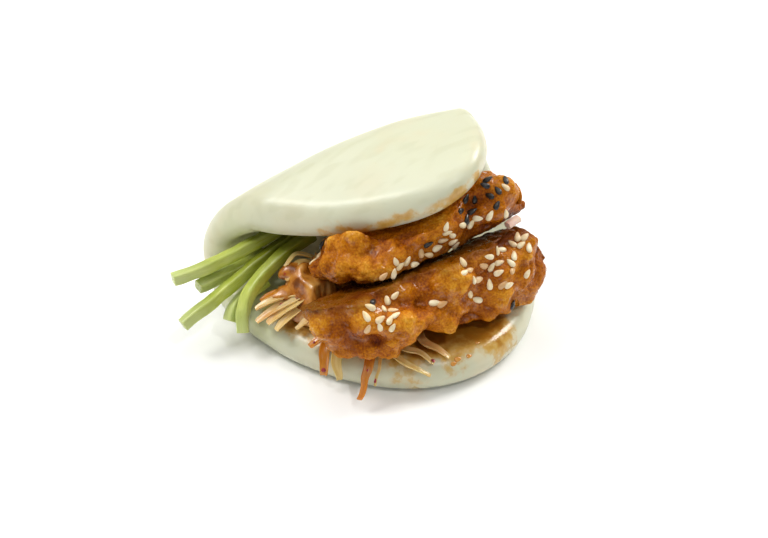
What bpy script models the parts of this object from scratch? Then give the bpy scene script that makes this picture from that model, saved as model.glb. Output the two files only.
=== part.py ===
"""Chicken gua bao: a folded steamed bun round two pieces of fried chicken, cucumber and slaw.

Shapes are worked out in millimetres and made into meshes in metres. X runs along the bun's
fold, from the cucumber end to the other one, Y from the mouth to the fold, and Z up. The
origin is on the table, under the middle of the whole.
"""
import math

import bmesh
import bpy
import numpy as np

MM = 0.001
COLLECTION = "chicken_gua_bao"
CONTACT_GAP = 0.35        # between neighbours that touch
ORIGIN_SHIFT = (5.8, -2.8, 0.0)  # brings the origin under the middle
X_AXIS = np.array((1.0, 0.0, 0.0))
Y_AXIS = np.array((0.0, 1.0, 0.0))

# The bun: an oval of dough, folded once.
DOUGH_HALF = 5.0          # half the dough's thickness
DOUGH_PUFF = 0.35         # how much thicker the middle of a flap is, on each side
DOUGH_HALF_LENGTH = 46.6  # along the fold
LOWER_REACH = 74.6        # from the middle of the fold round to the lower lip
UPPER_REACH = 53.8        # the same, round to the upper lip
LOWER_SKEW = 0.01         # how much fuller the lower flap is towards +X
UPPER_SKEW = 0.41
FOLD_BACK = 29.3          # where the middle of the dough is furthest back
FOLD_TURN = 0.087         # how far the fold comes forward, for each mm along X
FOLD_DEPTH = 14.0         # from the bend's furthest point to where a flap starts
FOLD_TOP = 44.7           # height of the upper flap's middle layer over the fold
FOLD_CLIMB = 0.223         # how much it climbs along X
FOLD_ARCH = 0.0028        # and how much that climb eases off
FLAP_RUN = 28.0           # from the fold to the upper lip, at the middle
LIP_LIFT = -0.3           # how far the upper lip stands above the fold
LIP_LIFT_TURN = 0.174     # and how much that grows along X
LIP_DROOP = 1.58          # how far the edge itself rolls down again
UPPER_LENGTH_SHARE = 0.81  # the lifted flap is shorter along X
UPPER_SHIFT = -5.5
LOWER_SHIFT = 3.0
BUN_COLUMNS = 52
BUN_FACE_ROWS = 13
BUN_RIM_ROWS = 6
FLAP_TOP = 2.0 * DOUGH_HALF + DOUGH_PUFF  # the lower flap's upper side

# The chicken: stations along each piece, as x, y, z, half depth and half height.
LOWER_CHICKEN = (
    (-30.0, -6.5, 19.6, 9.0, 8.5),
    (-22.5, -12.9, 20.8, 14.4, 12.6),
    (-11.5, -16.2, 19.2, 14.7, 11.0),
    (0.5, -16.4, 19.8, 10.9, 12.1),
    (12.5, -15.4, 20.6, 11.3, 13.7),
    (24.0, -13.6, 21.7, 9.7, 14.8),
    (35.0, -15.3, 20.3, 11.6, 15.4),
)
UPPER_CHICKEN = (
    (-27.0, 0.7, 26.3, 6.9, 7.6),
    (-18.5, -2.5, 29.2, 10.5, 9.0),
    (-7.0, -6.5, 31.9, 9.6, 11.1),
    (7.0, -7.2, 34.9, 9.6, 10.2),
    (18.0, -7.9, 36.8, 8.1, 10.0),
    (26.5, -5.7, 35.4, 7.8, 7.7),
    (33.8, -4.4, 34.8, 8.4, 6.9),
)
PARTING_LINE = -10.0      # where along Y the height of the surface between them is given
PARTING_HEIGHT = 27.76
PARTING_CLIMB = 0.1166    # how much it climbs along X
PARTING_ARCH = -0.00037
PARTING_TILT = math.radians(25.8)
CHICKEN_ROWS = 42
CHICKEN_COLUMNS = 26
CHICKEN_LENGTH = 70.0     # round figures, to measure along and round a piece
CHICKEN_GIRTH = 62.0
END_BLUNTNESS = 3.6
END_CROWDING = 0.4        # how much closer the rows lie at the ends
LOBE_SIZE = 12.0
LOBE_HEIGHT = 8.5
CRAG_SIZE = 6.0
CRAG_HEIGHT = 4.2
LUMP_BLEND = 6.0          # how sharply neighbouring lumps meet
LUMP_LEVEL = 0.24         # the share of a lump's height that the plain body stands for
LOWER_RELIEF_SEED = 128
UPPER_RELIEF_SEED = 102
PRESS_SOFTNESS = 0.9
LIP_OPENING = 2.0         # how steeply the room for the chicken grows past the upper lip
RAISED_UP_TO = 14.0       # the lower piece lies on slaw as far as this along X
LOWERED_FROM = 26.0       # and straight on the bun from here on
RAISED_BY = 2.0

# Bumps that stand out from the rest, as along, turn in half circles, size and height.
LOWER_BUMPS = (
    (-0.09, 0.57, 4.0, 1.5),
    (0.4, 1.78, 3.0, -4.0),
    (0.49, 1.89, 3.3, 4.2),
    (0.68, 1.94, 3.3, 3.7),
    (0.92, 1.75, 4.9, 2.1),
    (0.94, 0.39, 3.6, 3.9),
)
UPPER_BUMPS = (
    (1.06, 1.92, 3.0, 3.6),
    (0.82, 0.45, 4.3, -0.5),
    (0.89, 1.74, 6.9, -1.6),
)

# Sesame: the patches that it lies in, as along, turn, spread along, spread across and count.
LOWER_PATCHES = (
    (0.25, 0.20, 3.2, 2.6, 11),
    (0.47, 0.17, 1.2, 1.2, 2),
    (0.345, 0.23, 1.2, 1.2, 3),
    (0.31, 0.35, 1.2, 1.2, 2),
    (0.60, 0.30, 2.0, 2.0, 4),
    (0.71, 0.21, 3.6, 3.0, 14),
    (0.86, 0.28, 2.2, 2.4, 7),
    (0.81, 0.07, 2.0, 1.4, 2),
    (0.785, -0.18, 0.5, 0.5, 1),
    (0.233, 0.28, 0.5, 0.5, 1),
)
UPPER_PATCHES = (
    (0.67, 0.35, 3.0, 3.0, 8),
    (0.553, 0.25, 2.2, 1.6, 5),
    (0.63, 0.06, 4.0, 1.4, 7),
    (0.518, 0.07, 1.8, 2.2, 6),
    (0.412, 0.03, 1.6, 2.2, 4),
    (0.35, -0.04, 3.4, 1.8, 10),
    (0.334, 0.47, 2.2, 1.2, 2),
    (0.08, 0.70, 2.0, 1.0, 2),
    (0.106, 0.80, 1.0, 0.8, 2),
    (0.459, 0.38, 0.6, 0.6, 1),
    (0.378, 0.50, 0.6, 0.6, 1),
)
LOWER_SESAME_SEED = 5
UPPER_SESAME_SEED = 7
SEED_SIZE = (3.2, 1.9, 1.2)  # length, width and thickness
SEED_RAISED = 0.12        # how far a seed's middle lies over the batter
SEED_SPACING = 2.6        # between the middles of two seeds
SEED_CLEARANCE = 2.2      # from a seed's middle to the flap or the other piece
SEED_TRIES = 12           # draws for each seed that a patch wants
SEED_COMPASS = (0.31, 0.17, 0.93)  # headings are counted from square to this
EGG_COLUMNS = 6
EGG_ROWS = 4
EGG_POINT = 0.25          # how much fuller one end of an egg is

# Cucumber: the middle line of each stick from its free end inwards, and its roll.
STICKS = (
    (
        (
            (-57.0, 20.6, 20.0), (-49.4, 20.5, 20.8), (-41.2, 20.9, 22.2), (-33.0, 20.6, 24.8),
            (-24.0, 20.6, 27.8),
        ),
        0.15,
    ),
    (
        ((-50.6, 19.4, 16.3), (-44.9, 20.6, 16.6), (-38.4, 21.6, 17.4), (-30.0, 22.4, 19.2)),
        -0.2,
    ),
    (
        (
            (-57.6, 13.6, 9.8), (-51.8, 14.6, 12.2), (-44.9, 15.8, 15.0), (-37.5, 17.0, 18.6),
            (-29.5, 18.4, 22.0), (-22.0, 19.8, 24.2),
        ),
        0.25,
    ),
    (
        ((-44.8, 11.6, 8.2), (-42.6, 13.4, 11.2), (-38.6, 15.2, 12.8), (-32.0, 16.8, 14.2)),
        0.5,
    ),
    (
        (
            (-43.3, 6.4, 7.4), (-42.2, 8.8, 11.6), (-39.6, 10.8, 15.8), (-34.0, 12.6, 20.0),
            (-26.5, 14.6, 23.6), (-18.0, 16.6, 25.6),
        ),
        0.1,
    ),
)
STICK_WIDTH = 3.3
STICK_STEPS = 12

# Slaw: a heap on the lower flap, and what sticks out of it.
SLAW_FLOOR = FLAP_TOP + CONTACT_GAP
SLAW_MIDDLE = (-9.0, -2.0)
SLAW_REACHES = (28.0, 22.0, 15.0, 13.0, 15.0, 26.0, 27.5, 22.0, 20.0, 19.0, 17.0, 20.0)  # at even turns
SLAW_THIN = 0.7           # the least that is left under the chicken
SLAW_HEIGHT = 13.0
SLAW_STEEPNESS = 6.0
SLAW_ROWS = 8
SLAW_COLUMNS = 40
SLAW_ROUGHNESS = 2.4
SLAW_WAVE = 5.0           # size of its dents
SLAW_SEED = 31
SLAW_COVER = 3.2          # it keeps below whatever is within this distance over it
SHREDS = (                # a middle line from the heap outwards, a width and a thickness
    (((-28.5, 4.4, 15.5), (-34.6, 5.4, 16.0), (-39.6, 5.9, 14.4)), 2.4, 1.1),
    (((-28.5, 3.0, 15.0), (-33.8, 3.0, 13.8), (-40.4, 3.6, 11.9)), 2.4, 1.1),
    (((-25.5, 2.0, 15.0), (-31.0, 1.2, 13.6), (-38.9, -0.2, 11.9)), 2.1, 1.1),
    (((-21.0, 7.8, 19.6), (-24.4, 7.2, 20.4), (-28.0, 6.0, 18.4)), 2.2, 0.9),
    (((-23.0, -8.0, 11.5), (-27.6, -10.0, 11.6), (-31.0, -10.4, 9.8)), 2.7, 1.2),
    (((-21.0, -9.0, 11.5), (-25.6, -12.0, 11.8), (-28.9, -14.6, 9.4), (-30.2, -16.4, 4.8)), 3.0, 1.1),
    (((-19.0, -11.0, 11.5), (-23.6, -14.6, 11.8), (-26.8, -17.6, 8.8), (-27.4, -19.8, 4.6)), 2.7, 1.0),
    (
        (
            (-12.0, -14.0, 11.5), (-15.6, -18.4, 11.9), (-19.2, -22.4, 10.9), (-22.6, -26.0, 7.0),
            (-25.2, -28.4, 3.4),
        ),
        2.9,
        1.3,
    ),
    (((-12.0, -17.0, 11.5), (-15.4, -21.6, 11.7), (-18.4, -25.4, 9.4), (-20.6, -27.2, 5.6)), 1.3, 1.0),
    (
        (
            (-12.0, -16.0, 11.5), (-13.8, -22.4, 11.7), (-13.0, -26.4, 11.0), (-10.2, -29.8, 9.4),
            (-7.0, -32.0, 7.4),
        ),
        1.6,
        0.9,
    ),
    (((-8.5, -17.0, 11.5), (-10.2, -23.4, 11.7), (-7.4, -27.2, 11.2), (-5.0, -30.4, 9.9)), 1.8, 0.9),
    (((-4.0, -17.0, 11.5), (-4.6, -23.4, 11.8), (-2.4, -27.6, 11.4), (-0.6, -30.4, 10.2)), 1.8, 1.0),
)
SHRED_STEPS = 7
SHRED_TAPER = 0.45        # of its width is left at a shred's tip
LUMPS = (                 # sauced lumps on the heap: a middle and a size
    ((-31.8, 5.9, 16.6), (6.4, 5.4, 4.4)),
    ((-27.6, 9.4, 20.4), (7.4, 6.0, 5.0)),
)
RADISH = ((24.2, -14.8, 34.6), (26.0, -14.4, 35.0), (28.0, -14.0, 35.4))
RADISH_SIZE = (2.4, 1.8)
RADISH_ROLL = 0.3


def hashed(cells, seed):
    """Return a fixed number from 0 to 1 for each whole-numbered cell, by mixing its bits."""
    mixed = cells[..., 0] * 374761393 + cells[..., 1] * 668265263 + cells[..., 2] * 1440662683
    mixed = (mixed + seed * 1013904223) & 0xFFFFFFFF
    mixed = ((mixed ^ (mixed >> 13)) * 1274126177) & 0xFFFFFFFF
    mixed = ((mixed ^ (mixed >> 15)) * 461845907) & 0xFFFFFFFF
    return (mixed ^ (mixed >> 16)) / 0xFFFFFFFF


def noise(points, size, seed):
    """Return smooth noise from -1 to 1: hashed values blended over cubes of the given size."""
    turned = points @ np.array(((0.80, 0.60, 0.0), (-0.48, 0.64, 0.60), (0.36, -0.48, 0.80)))
    scaled = turned / size
    cell = np.floor(scaled).astype(np.int64)
    part = scaled - cell
    part = part ** 3 * (part * (part * 6.0 - 15.0) + 10.0)
    total = np.zeros(points.shape[:-1])
    for corner in np.ndindex(2, 2, 2):
        weight = np.prod(np.where(corner, part, 1.0 - part), axis=-1)
        total += weight * hashed(cell + np.array(corner), seed)
    return total * 2.0 - 1.0


def through(stations, along):
    """Return the smooth curve through evenly spaced stations (Catmull-Rom) at 0 to 1."""
    stations = np.asarray(stations, dtype=float)
    last = len(stations) - 1
    place = np.clip(along, 0.0, 1.0) * last
    index = np.minimum(place.astype(int), last - 1)
    part = (place - index)[..., None]
    before = stations[np.maximum(index - 1, 0)]
    start = stations[index]
    end = stations[index + 1]
    after = stations[np.minimum(index + 2, last)]
    return 0.5 * (
        2.0 * start
        + (end - before) * part
        + (2.0 * before - 5.0 * start + 4.0 * end - after) * part ** 2
        + (3.0 * start - before - 3.0 * end + after) * part ** 3
    )


def unit(vectors):
    """Return the vectors at length 1."""
    return vectors / np.maximum(np.linalg.norm(vectors, axis=-1, keepdims=True), 1e-9)


def grid_normals(points):
    """Return outward normals of a closed grid: the cross product of its two directions."""
    down = np.gradient(points, axis=0)
    across = np.roll(points, -1, axis=1) - np.roll(points, 1, axis=1)
    normals = unit(np.cross(down, across))
    normals[0] = unit(normals[1].sum(axis=0))
    normals[-1] = unit(normals[-2].sum(axis=0))
    return normals


def softened(room):
    """Return distances that bend softly to zero where they would be negative."""
    return PRESS_SOFTNESS * np.logaddexp(0.0, room / PRESS_SOFTNESS)


# ---- the bun ----


def fold_height(along):
    """Return the height of the upper flap's middle layer over the fold: a line that eases off."""
    return FOLD_TOP + FOLD_CLIMB * along - FOLD_ARCH * along ** 2


def bend_size(along):
    """Return the bend's half height, the dough's length round a quarter of it, and where flaps start."""
    half_height = (fold_height(along) - DOUGH_HALF) / 2.0
    quarter = math.pi / 2.0 * np.sqrt((half_height ** 2 + FOLD_DEPTH ** 2) / 2.0)
    return half_height, quarter, FOLD_BACK - FOLD_TURN * along - FOLD_DEPTH


def flap_rise(along, beyond):
    """Return how far the upper flap rises beyond the bend, and its slope: a lift less a droop."""
    lift = (LIP_LIFT + LIP_LIFT_TURN * along) / FLAP_RUN
    run = beyond / FLAP_RUN
    return lift * beyond - LIP_DROOP * run ** 4, lift - 4.0 * LIP_DROOP * run ** 3 / FLAP_RUN


def bend(along, across, layer):
    """Fold flat dough: a flat lower flap, half an ellipse round the fold, a lifted upper flap.

    Along runs along the fold, across from the lower lip to the upper one with 0 in the middle
    of the bend, and layer is the distance from the dough's middle, positive outwards.
    """
    half_height, quarter, start = bend_size(along)
    turn = np.clip(across / quarter, -1.0, 1.0) * math.pi / 2.0
    beyond = np.maximum(np.abs(across) - quarter, 0.0)
    upper = across > 0.0
    rise, slope = flap_rise(along, beyond)
    middle_y = start + FOLD_DEPTH * np.cos(turn) - beyond
    middle_z = DOUGH_HALF + half_height * (1.0 + np.sin(turn)) + np.where(upper, rise, 0.0)
    on_flap = beyond > 0.0
    out_y = np.where(on_flap, np.where(upper, slope, 0.0), np.cos(turn) / FOLD_DEPTH)
    out_z = np.where(on_flap, np.sign(across), np.sin(turn) / half_height)
    length = np.sqrt(out_y ** 2 + out_z ** 2)
    share = 0.5 + 0.5 * np.sin(turn)
    shift = LOWER_SHIFT + (UPPER_SHIFT - LOWER_SHIFT) * share
    x = along * (1.0 + (UPPER_LENGTH_SHARE - 1.0) * share) + shift
    return np.stack((x, middle_y + layer * out_y / length, middle_z + layer * out_z / length), axis=-1)


def dough_rows(face_rows, rim_rows):
    """Return inset and layer for each row: in from the pole, round the rim, back to the pole."""
    face = np.linspace(0.0, 1.0, face_rows + 1)
    angle = np.linspace(-math.pi / 2.0, math.pi / 2.0, rim_rows + 1)[1:-1]
    share = np.concatenate((face, np.ones(rim_rows - 1), face[::-1]))
    inset = np.concatenate((np.ones(face_rows + 1), 1.0 - np.cos(angle), np.ones(face_rows + 1)))
    layer = np.concatenate((-np.ones(face_rows + 1), np.sin(angle), np.ones(face_rows + 1)))
    puff = layer * DOUGH_PUFF * (1.0 - share ** 2)
    return share, inset * DOUGH_HALF, layer * DOUGH_HALF + puff


def outline_reach(along, middle_reach, skew):
    """Return how far the dough's oval reaches from the fold, for a place along it from -1 to 1."""
    return middle_reach * (1.0 + skew * along) * np.sqrt(1.0 - along ** 2)


def bun_surface(columns, face_rows, rim_rows):
    """Return the bun as a closed grid: an oval slab with a round rim, bent round its middle."""
    angle = np.arange(columns) / columns * 2.0 * math.pi
    cosine = np.cos(angle)
    reach = np.where(
        np.sin(angle) > 0.0,
        outline_reach(cosine, UPPER_REACH, UPPER_SKEW),
        -outline_reach(cosine, LOWER_REACH, LOWER_SKEW),
    )
    outline = np.stack((DOUGH_HALF_LENGTH * cosine, reach), axis=-1)
    share, inset, layer = dough_rows(face_rows, rim_rows)
    length = np.linalg.norm(outline, axis=-1)
    scale = share[:, None] * (1.0 - inset[:, None] / length[None, :])
    flat = outline[None] * scale[..., None]
    points = bend(flat[..., 0], flat[..., 1], np.broadcast_to(layer[:, None], scale.shape))
    points[..., 2] = np.maximum(points[..., 2], 0.0)
    return points


def flap_over(x, y):
    """Return the height of the upper flap's underside over x, y, and whether the flap is there.

    Past the lip it is the height of a slope that leads up and out from the lip.
    """
    along = (x - UPPER_SHIFT) / UPPER_LENGTH_SHARE
    _, quarter, start = bend_size(along)
    beyond = np.maximum(start - y, 0.0)
    height = fold_height(along) + flap_rise(along, beyond)[0] - DOUGH_HALF - DOUGH_PUFF
    share = np.clip(along / DOUGH_HALF_LENGTH, -1.0, 1.0)
    past = beyond + quarter - outline_reach(share, UPPER_REACH, UPPER_SKEW)
    return height + LIP_OPENING * np.maximum(past, 0.0), past < 0.0


# ---- the chicken ----


def rows_along(rows):
    """Return the rows' places along a piece from 0 to 1, closer together at its ends."""
    even = np.linspace(0.0, 1.0, rows)
    return even - END_CROWDING * np.sin(2.0 * math.pi * even) / (2.0 * math.pi)


def loaf(stations, rows, columns):
    """Return a long round body as a closed grid, with its axis and its sections' directions.

    Ellipses stand square to a smooth curve through the stations, and shrink to blunt ends.
    """
    along = rows_along(rows)
    curve = through(stations, along)
    axis = curve[:, :3]
    tangent = unit(np.gradient(axis, axis=0))
    side = unit(np.cross(tangent, (0.0, 0.0, 1.0)))
    rise = np.cross(side, tangent)
    end = np.sqrt(np.maximum(1.0 - np.abs(2.0 * along - 1.0) ** END_BLUNTNESS, 0.0))
    turn = np.arange(columns) / columns * 2.0 * math.pi
    depth = (end * curve[:, 3])[:, None, None] * np.cos(turn)[None, :, None] * side[:, None, :]
    height = (end * curve[:, 4])[:, None, None] * np.sin(turn)[None, :, None] * rise[:, None, :]
    return axis[:, None, :] + depth + height, along, turn


def bumps(along, turn, places):
    """Return the height of single bumps: each is a bell curve round its place on the body."""
    total = np.zeros((len(along), len(turn)))
    for place, angle, size, height in places:
        across = np.angle(np.exp(1j * (turn - angle * math.pi))) * CHICKEN_GIRTH / (2.0 * math.pi)
        distance = ((along - place)[:, None] * CHICKEN_LENGTH) ** 2 + across[None, :] ** 2
        total += height * np.exp(-distance / size ** 2)
    return total


def lumpy(points, size, height, seed):
    """Return round lumps with soft creases between them.

    Each cube of the given size holds one middle, and a bell curve round each middle is added up.
    The logarithm of the sum falls off as the square of the distance to the nearest middle.
    """
    scaled = points / size
    cell = np.floor(scaled).astype(np.int64)
    total = np.zeros(points.shape[:-1])
    for step in np.ndindex(3, 3, 3):
        near = cell + np.array(step) - 1
        middle = near + np.stack([hashed(near, seed * 3 + axis) for axis in range(3)], axis=-1)
        total += np.exp(-LUMP_BLEND * ((scaled - middle) ** 2).sum(axis=-1))
    return (np.log(total) / LUMP_BLEND + LUMP_LEVEL) * height


def chicken_surface(stations, places, seed, rows, columns):
    """Return a battered piece: a loaf with broad lobes, smaller crags and single bumps."""
    points, along, turn = loaf(stations, rows, columns)
    relief = lumpy(points, LOBE_SIZE, LOBE_HEIGHT, seed)
    relief += lumpy(points, CRAG_SIZE, CRAG_HEIGHT, seed + 1)
    relief += bumps(along, turn, places)
    relief[0] = relief[0].mean()
    relief[-1] = relief[-1].mean()
    return points + grid_normals(points) * relief[..., None]


def above_parting(points):
    """Return how far points lie above the surface where the pieces meet, and that way up.

    The surface leans back by a steady tilt, and its height bends along X as a parabola.
    """
    x = points[..., 0]
    height = PARTING_HEIGHT + PARTING_CLIMB * x + PARTING_ARCH * x ** 2
    direction = np.array((0.0, math.sin(PARTING_TILT), math.cos(PARTING_TILT)))
    place = np.stack((x, np.full_like(x, PARTING_LINE), height), axis=-1)
    return (points - place) @ direction, direction


def chicken_floor(x):
    """Return the height that the lower piece rests at: on slaw at first, then on the bun."""
    share = np.clip((LOWERED_FROM - x) / (LOWERED_FROM - RAISED_UP_TO), 0.0, 1.0)
    return FLAP_TOP + CONTACT_GAP + RAISED_BY * share ** 2 * (3.0 - 2.0 * share)


def lower_chicken(rows, columns):
    """Return the lower piece, pressed flat at its floor and where the upper piece lies."""
    points = chicken_surface(LOWER_CHICKEN, LOWER_BUMPS, LOWER_RELIEF_SEED, rows, columns)
    floor = chicken_floor(points[..., 0])
    points[..., 2] = floor + softened(points[..., 2] - floor)
    above, direction = above_parting(points)
    room = -above - CONTACT_GAP / 2.0
    return points + (room - softened(room))[..., None] * direction


def upper_chicken(rows, columns):
    """Return the upper piece, pressed under the upper flap and on the lower one."""
    points = chicken_surface(UPPER_CHICKEN, UPPER_BUMPS, UPPER_RELIEF_SEED, rows, columns)
    ceiling = flap_over(points[..., 0], points[..., 1])[0] - CONTACT_GAP
    points[..., 2] = ceiling - softened(ceiling - points[..., 2])
    above, direction = above_parting(points)
    room = above - CONTACT_GAP / 2.0
    return points + (softened(room) - room)[..., None] * direction


# ---- cucumber and slaw ----


def bar(path, width, height, roll, steps, taper=1.0, sides=4):
    """Return a squared bar: a profile of a few sides carried along a smooth path.

    The profile is square to the path, turned by the roll, and narrows towards the far end.
    """
    along = np.linspace(0.0, 1.0, steps)
    line = through(path, along)
    tangent = unit(np.gradient(line, axis=0))
    side = unit(np.cross(tangent, (0.0, 0.0, 1.0)))
    rise = np.cross(side, tangent)
    turn = (np.arange(sides) + 0.5) / sides * 2.0 * math.pi
    across = np.cos(turn) * width / math.sqrt(2.0)
    upwards = np.sin(turn) * height / math.sqrt(2.0)
    scale = 1.0 + (taper - 1.0) * along[:, None] ** 2
    first = (across * math.cos(roll) - upwards * math.sin(roll)) * scale
    second = (across * math.sin(roll) + upwards * math.cos(roll)) * scale
    rings = line[:, None] + first[..., None] * side[:, None] + second[..., None] * rise[:, None]
    return np.concatenate((np.repeat(line[:1, None], sides, 1), rings, np.repeat(line[-1:, None], sides, 1)))


def lowest_over(x, y, covers):
    """Return the height of the lowest of the covers' points that are near each x, y, if any."""
    points = np.concatenate([cover.reshape(-1, 3) for cover in covers])
    aside = np.hypot(x[..., None] - points[:, 0], y[..., None] - points[:, 1])
    return np.where(aside < SLAW_COVER, points[:, 2], np.inf).min(axis=-1)


def slaw_heap(rows, columns, covers):
    """Return the heap as a closed grid: a smooth uneven outline, a flat floor and a dented dome.

    Its top keeps under everything that lies over it.
    """
    angle = np.arange(columns) / columns * 2.0 * math.pi
    stations = np.concatenate((SLAW_REACHES[-1:], SLAW_REACHES, SLAW_REACHES[:2]))[:, None]
    inset = (1.0 + np.arange(columns) / columns * len(SLAW_REACHES)) / (len(stations) - 1)
    outline = through(stations, inset) * np.stack((np.cos(angle), np.sin(angle)), axis=-1)
    share = np.concatenate((np.linspace(0.0, 1.0, rows + 1), np.linspace(1.0, 0.0, rows + 1)))
    upper = np.arange(len(share)) > rows
    plan = outline[None] * share[:, None, None] + np.array(SLAW_MIDDLE)
    x, y = plan[..., 0], plan[..., 1]
    flat = np.stack((x, y, np.zeros_like(x)), axis=-1)
    dome = SLAW_HEIGHT * (1.0 - share[:, None] ** SLAW_STEEPNESS)
    dome = dome + noise(flat, SLAW_WAVE, SLAW_SEED) * SLAW_ROUGHNESS
    height = np.minimum(SLAW_FLOOR + SLAW_THIN + dome, lowest_over(x, y, covers) - CONTACT_GAP)
    height = np.maximum(height, SLAW_FLOOR + SLAW_THIN)
    top = np.where(upper[:, None], height, SLAW_FLOOR)
    top[-1] = top[-1, 0]
    return np.concatenate((plan, top[..., None]), axis=-1)


# ---- sesame and lumps ----


def egg(middle, long, wide, size):
    """Return a closed grid in the form of an egg, that is fuller at one end of its length."""
    polar = np.linspace(0.0, math.pi, EGG_ROWS)
    turn = np.arange(EGG_COLUMNS) / EGG_COLUMNS * 2.0 * math.pi
    ring = np.sin(polar) * (1.0 - EGG_POINT * np.cos(polar))
    length = -np.cos(polar)[:, None, None] * long * size[0] / 2.0
    width = (ring[:, None] * np.cos(turn))[..., None] * wide * size[1] / 2.0
    depth = (ring[:, None] * np.sin(turn))[..., None] * np.cross(long, wide) * size[2] / 2.0
    return middle + length + width + depth


def has_room(middle):
    """Tell whether a seed can lie at a point, clear of the other piece and of the upper flap."""
    above, _ = above_parting(middle)
    height, covered = flap_over(middle[0], middle[1])
    return abs(above) > SEED_CLEARANCE and not (covered and height - middle[2] < SEED_CLEARANCE)


def sesame_places(surface, patches, seed):
    """Return where seeds lie on a piece, as row, column and heading.

    Each patch scatters its seeds round its place, and draws again where there is no room.
    """
    draw = np.random.default_rng(seed)
    rows, columns = surface.shape[:2]
    places = []
    for along, turn, spread_along, spread_across, count in patches:
        wanted = len(places) + count
        for _ in range(count * SEED_TRIES):
            place = along + draw.normal(0.0, spread_along) / CHICKEN_LENGTH
            angle = turn + draw.normal(0.0, spread_across) / (CHICKEN_GIRTH / 2.0)
            heading = draw.uniform(0.0, math.pi)
            row = int(np.abs(rows_along(rows) - place).argmin())
            column = round(angle / 2.0 * columns) % columns
            middle = surface[row, column]
            apart = [np.linalg.norm(middle - surface[other[0], other[1]]) for other in places]
            if min(apart, default=SEED_SPACING) < SEED_SPACING or not has_room(middle):
                continue
            if len(places) < wanted:
                places.append((row, column, heading))
    return places


def sesame(surface, patches, seed):
    """Return the seeds that lie on a piece, each flat on the batter at a point of its grid."""
    normals = grid_normals(surface)
    seeds = []
    for row, column, heading in sesame_places(surface, patches, seed):
        outward = normals[row, column]
        first = unit(np.cross(outward, SEED_COMPASS))
        long = first * math.cos(heading) + np.cross(outward, first) * math.sin(heading)
        middle = surface[row, column] + outward * SEED_RAISED
        seeds.append(egg(middle, long, np.cross(outward, long), SEED_SIZE))
    return seeds


# ---- meshes ----


def closed_mesh(name, points):
    """Make a mesh from a closed grid whose first and last rows are single points."""
    rows, columns = points.shape[:2]
    ring = points[1:-1].reshape(-1, 3)
    vertices = np.concatenate((points[:1, 0], ring, points[-1:, 0])) + np.array(ORIGIN_SHIFT)
    here = np.arange(columns)
    after = (here + 1) % columns
    faces = [(0, 1 + int(b), 1 + int(a)) for a, b in zip(here, after)]
    for row in range(rows - 3):
        low = 1 + row * columns
        high = low + columns
        faces += [(low + int(a), low + int(b), high + int(b), high + int(a)) for a, b in zip(here, after)]
    tip = len(vertices) - 1
    base = 1 + (rows - 3) * columns
    faces += [(tip, base + int(a), base + int(b)) for a, b in zip(here, after)]
    mesh = bpy.data.meshes.new(name)
    mesh.from_pydata((vertices * MM).tolist(), [], faces)
    face_outwards(mesh)
    mesh.shade_smooth()
    return mesh


def face_outwards(mesh):
    """Turn the mesh's faces outwards."""
    shape = bmesh.new()
    shape.from_mesh(mesh)
    bmesh.ops.recalc_face_normals(shape, faces=shape.faces)
    shape.to_mesh(mesh)
    shape.free()


def paint(name, colour, roughness):
    """Make a plain material."""
    material = bpy.data.materials.new(name)
    material.use_nodes = True
    shader = material.node_tree.nodes["Principled BSDF"]
    shader.inputs["Base Color"].default_value = (*colour, 1.0)
    shader.inputs["Roughness"].default_value = roughness
    return material


def add_object(name, mesh, material, parts):
    """Put a mesh in the parts' collection, with its material."""
    mesh.materials.append(material)
    item = bpy.data.objects.new(name, mesh)
    parts.objects.link(item)
    return item


def clear_scene():
    """Remove every object that is already there."""
    for item in list(bpy.data.objects):
        bpy.data.objects.remove(item, do_unlink=True)


def join(name, host, pieces):
    """Fuse a collection of pieces to a host mesh by one Boolean union, and return the mesh."""
    scene = bpy.context.scene.collection
    loose = bpy.data.collections.new(name + "_pieces")
    scene.children.link(loose)
    for number, points in enumerate(pieces):
        item = bpy.data.objects.new(f"{name}_piece_{number}", closed_mesh("piece", points))
        loose.objects.link(item)
    item = bpy.data.objects.new(name, host)
    scene.objects.link(item)
    union = item.modifiers.new("union", "BOOLEAN")
    union.operation = "UNION"
    union.operand_type = "COLLECTION"
    union.solver = "MANIFOLD"
    union.collection = loose
    bpy.context.view_layer.update()
    evaluated = item.evaluated_get(bpy.context.evaluated_depsgraph_get())
    mesh = bpy.data.meshes.new_from_object(evaluated)
    mesh.name = name
    mesh.materials.clear()
    for piece in list(loose.objects) + [item]:
        bpy.data.objects.remove(piece, do_unlink=True)
    bpy.data.collections.remove(loose)
    return mesh


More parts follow.
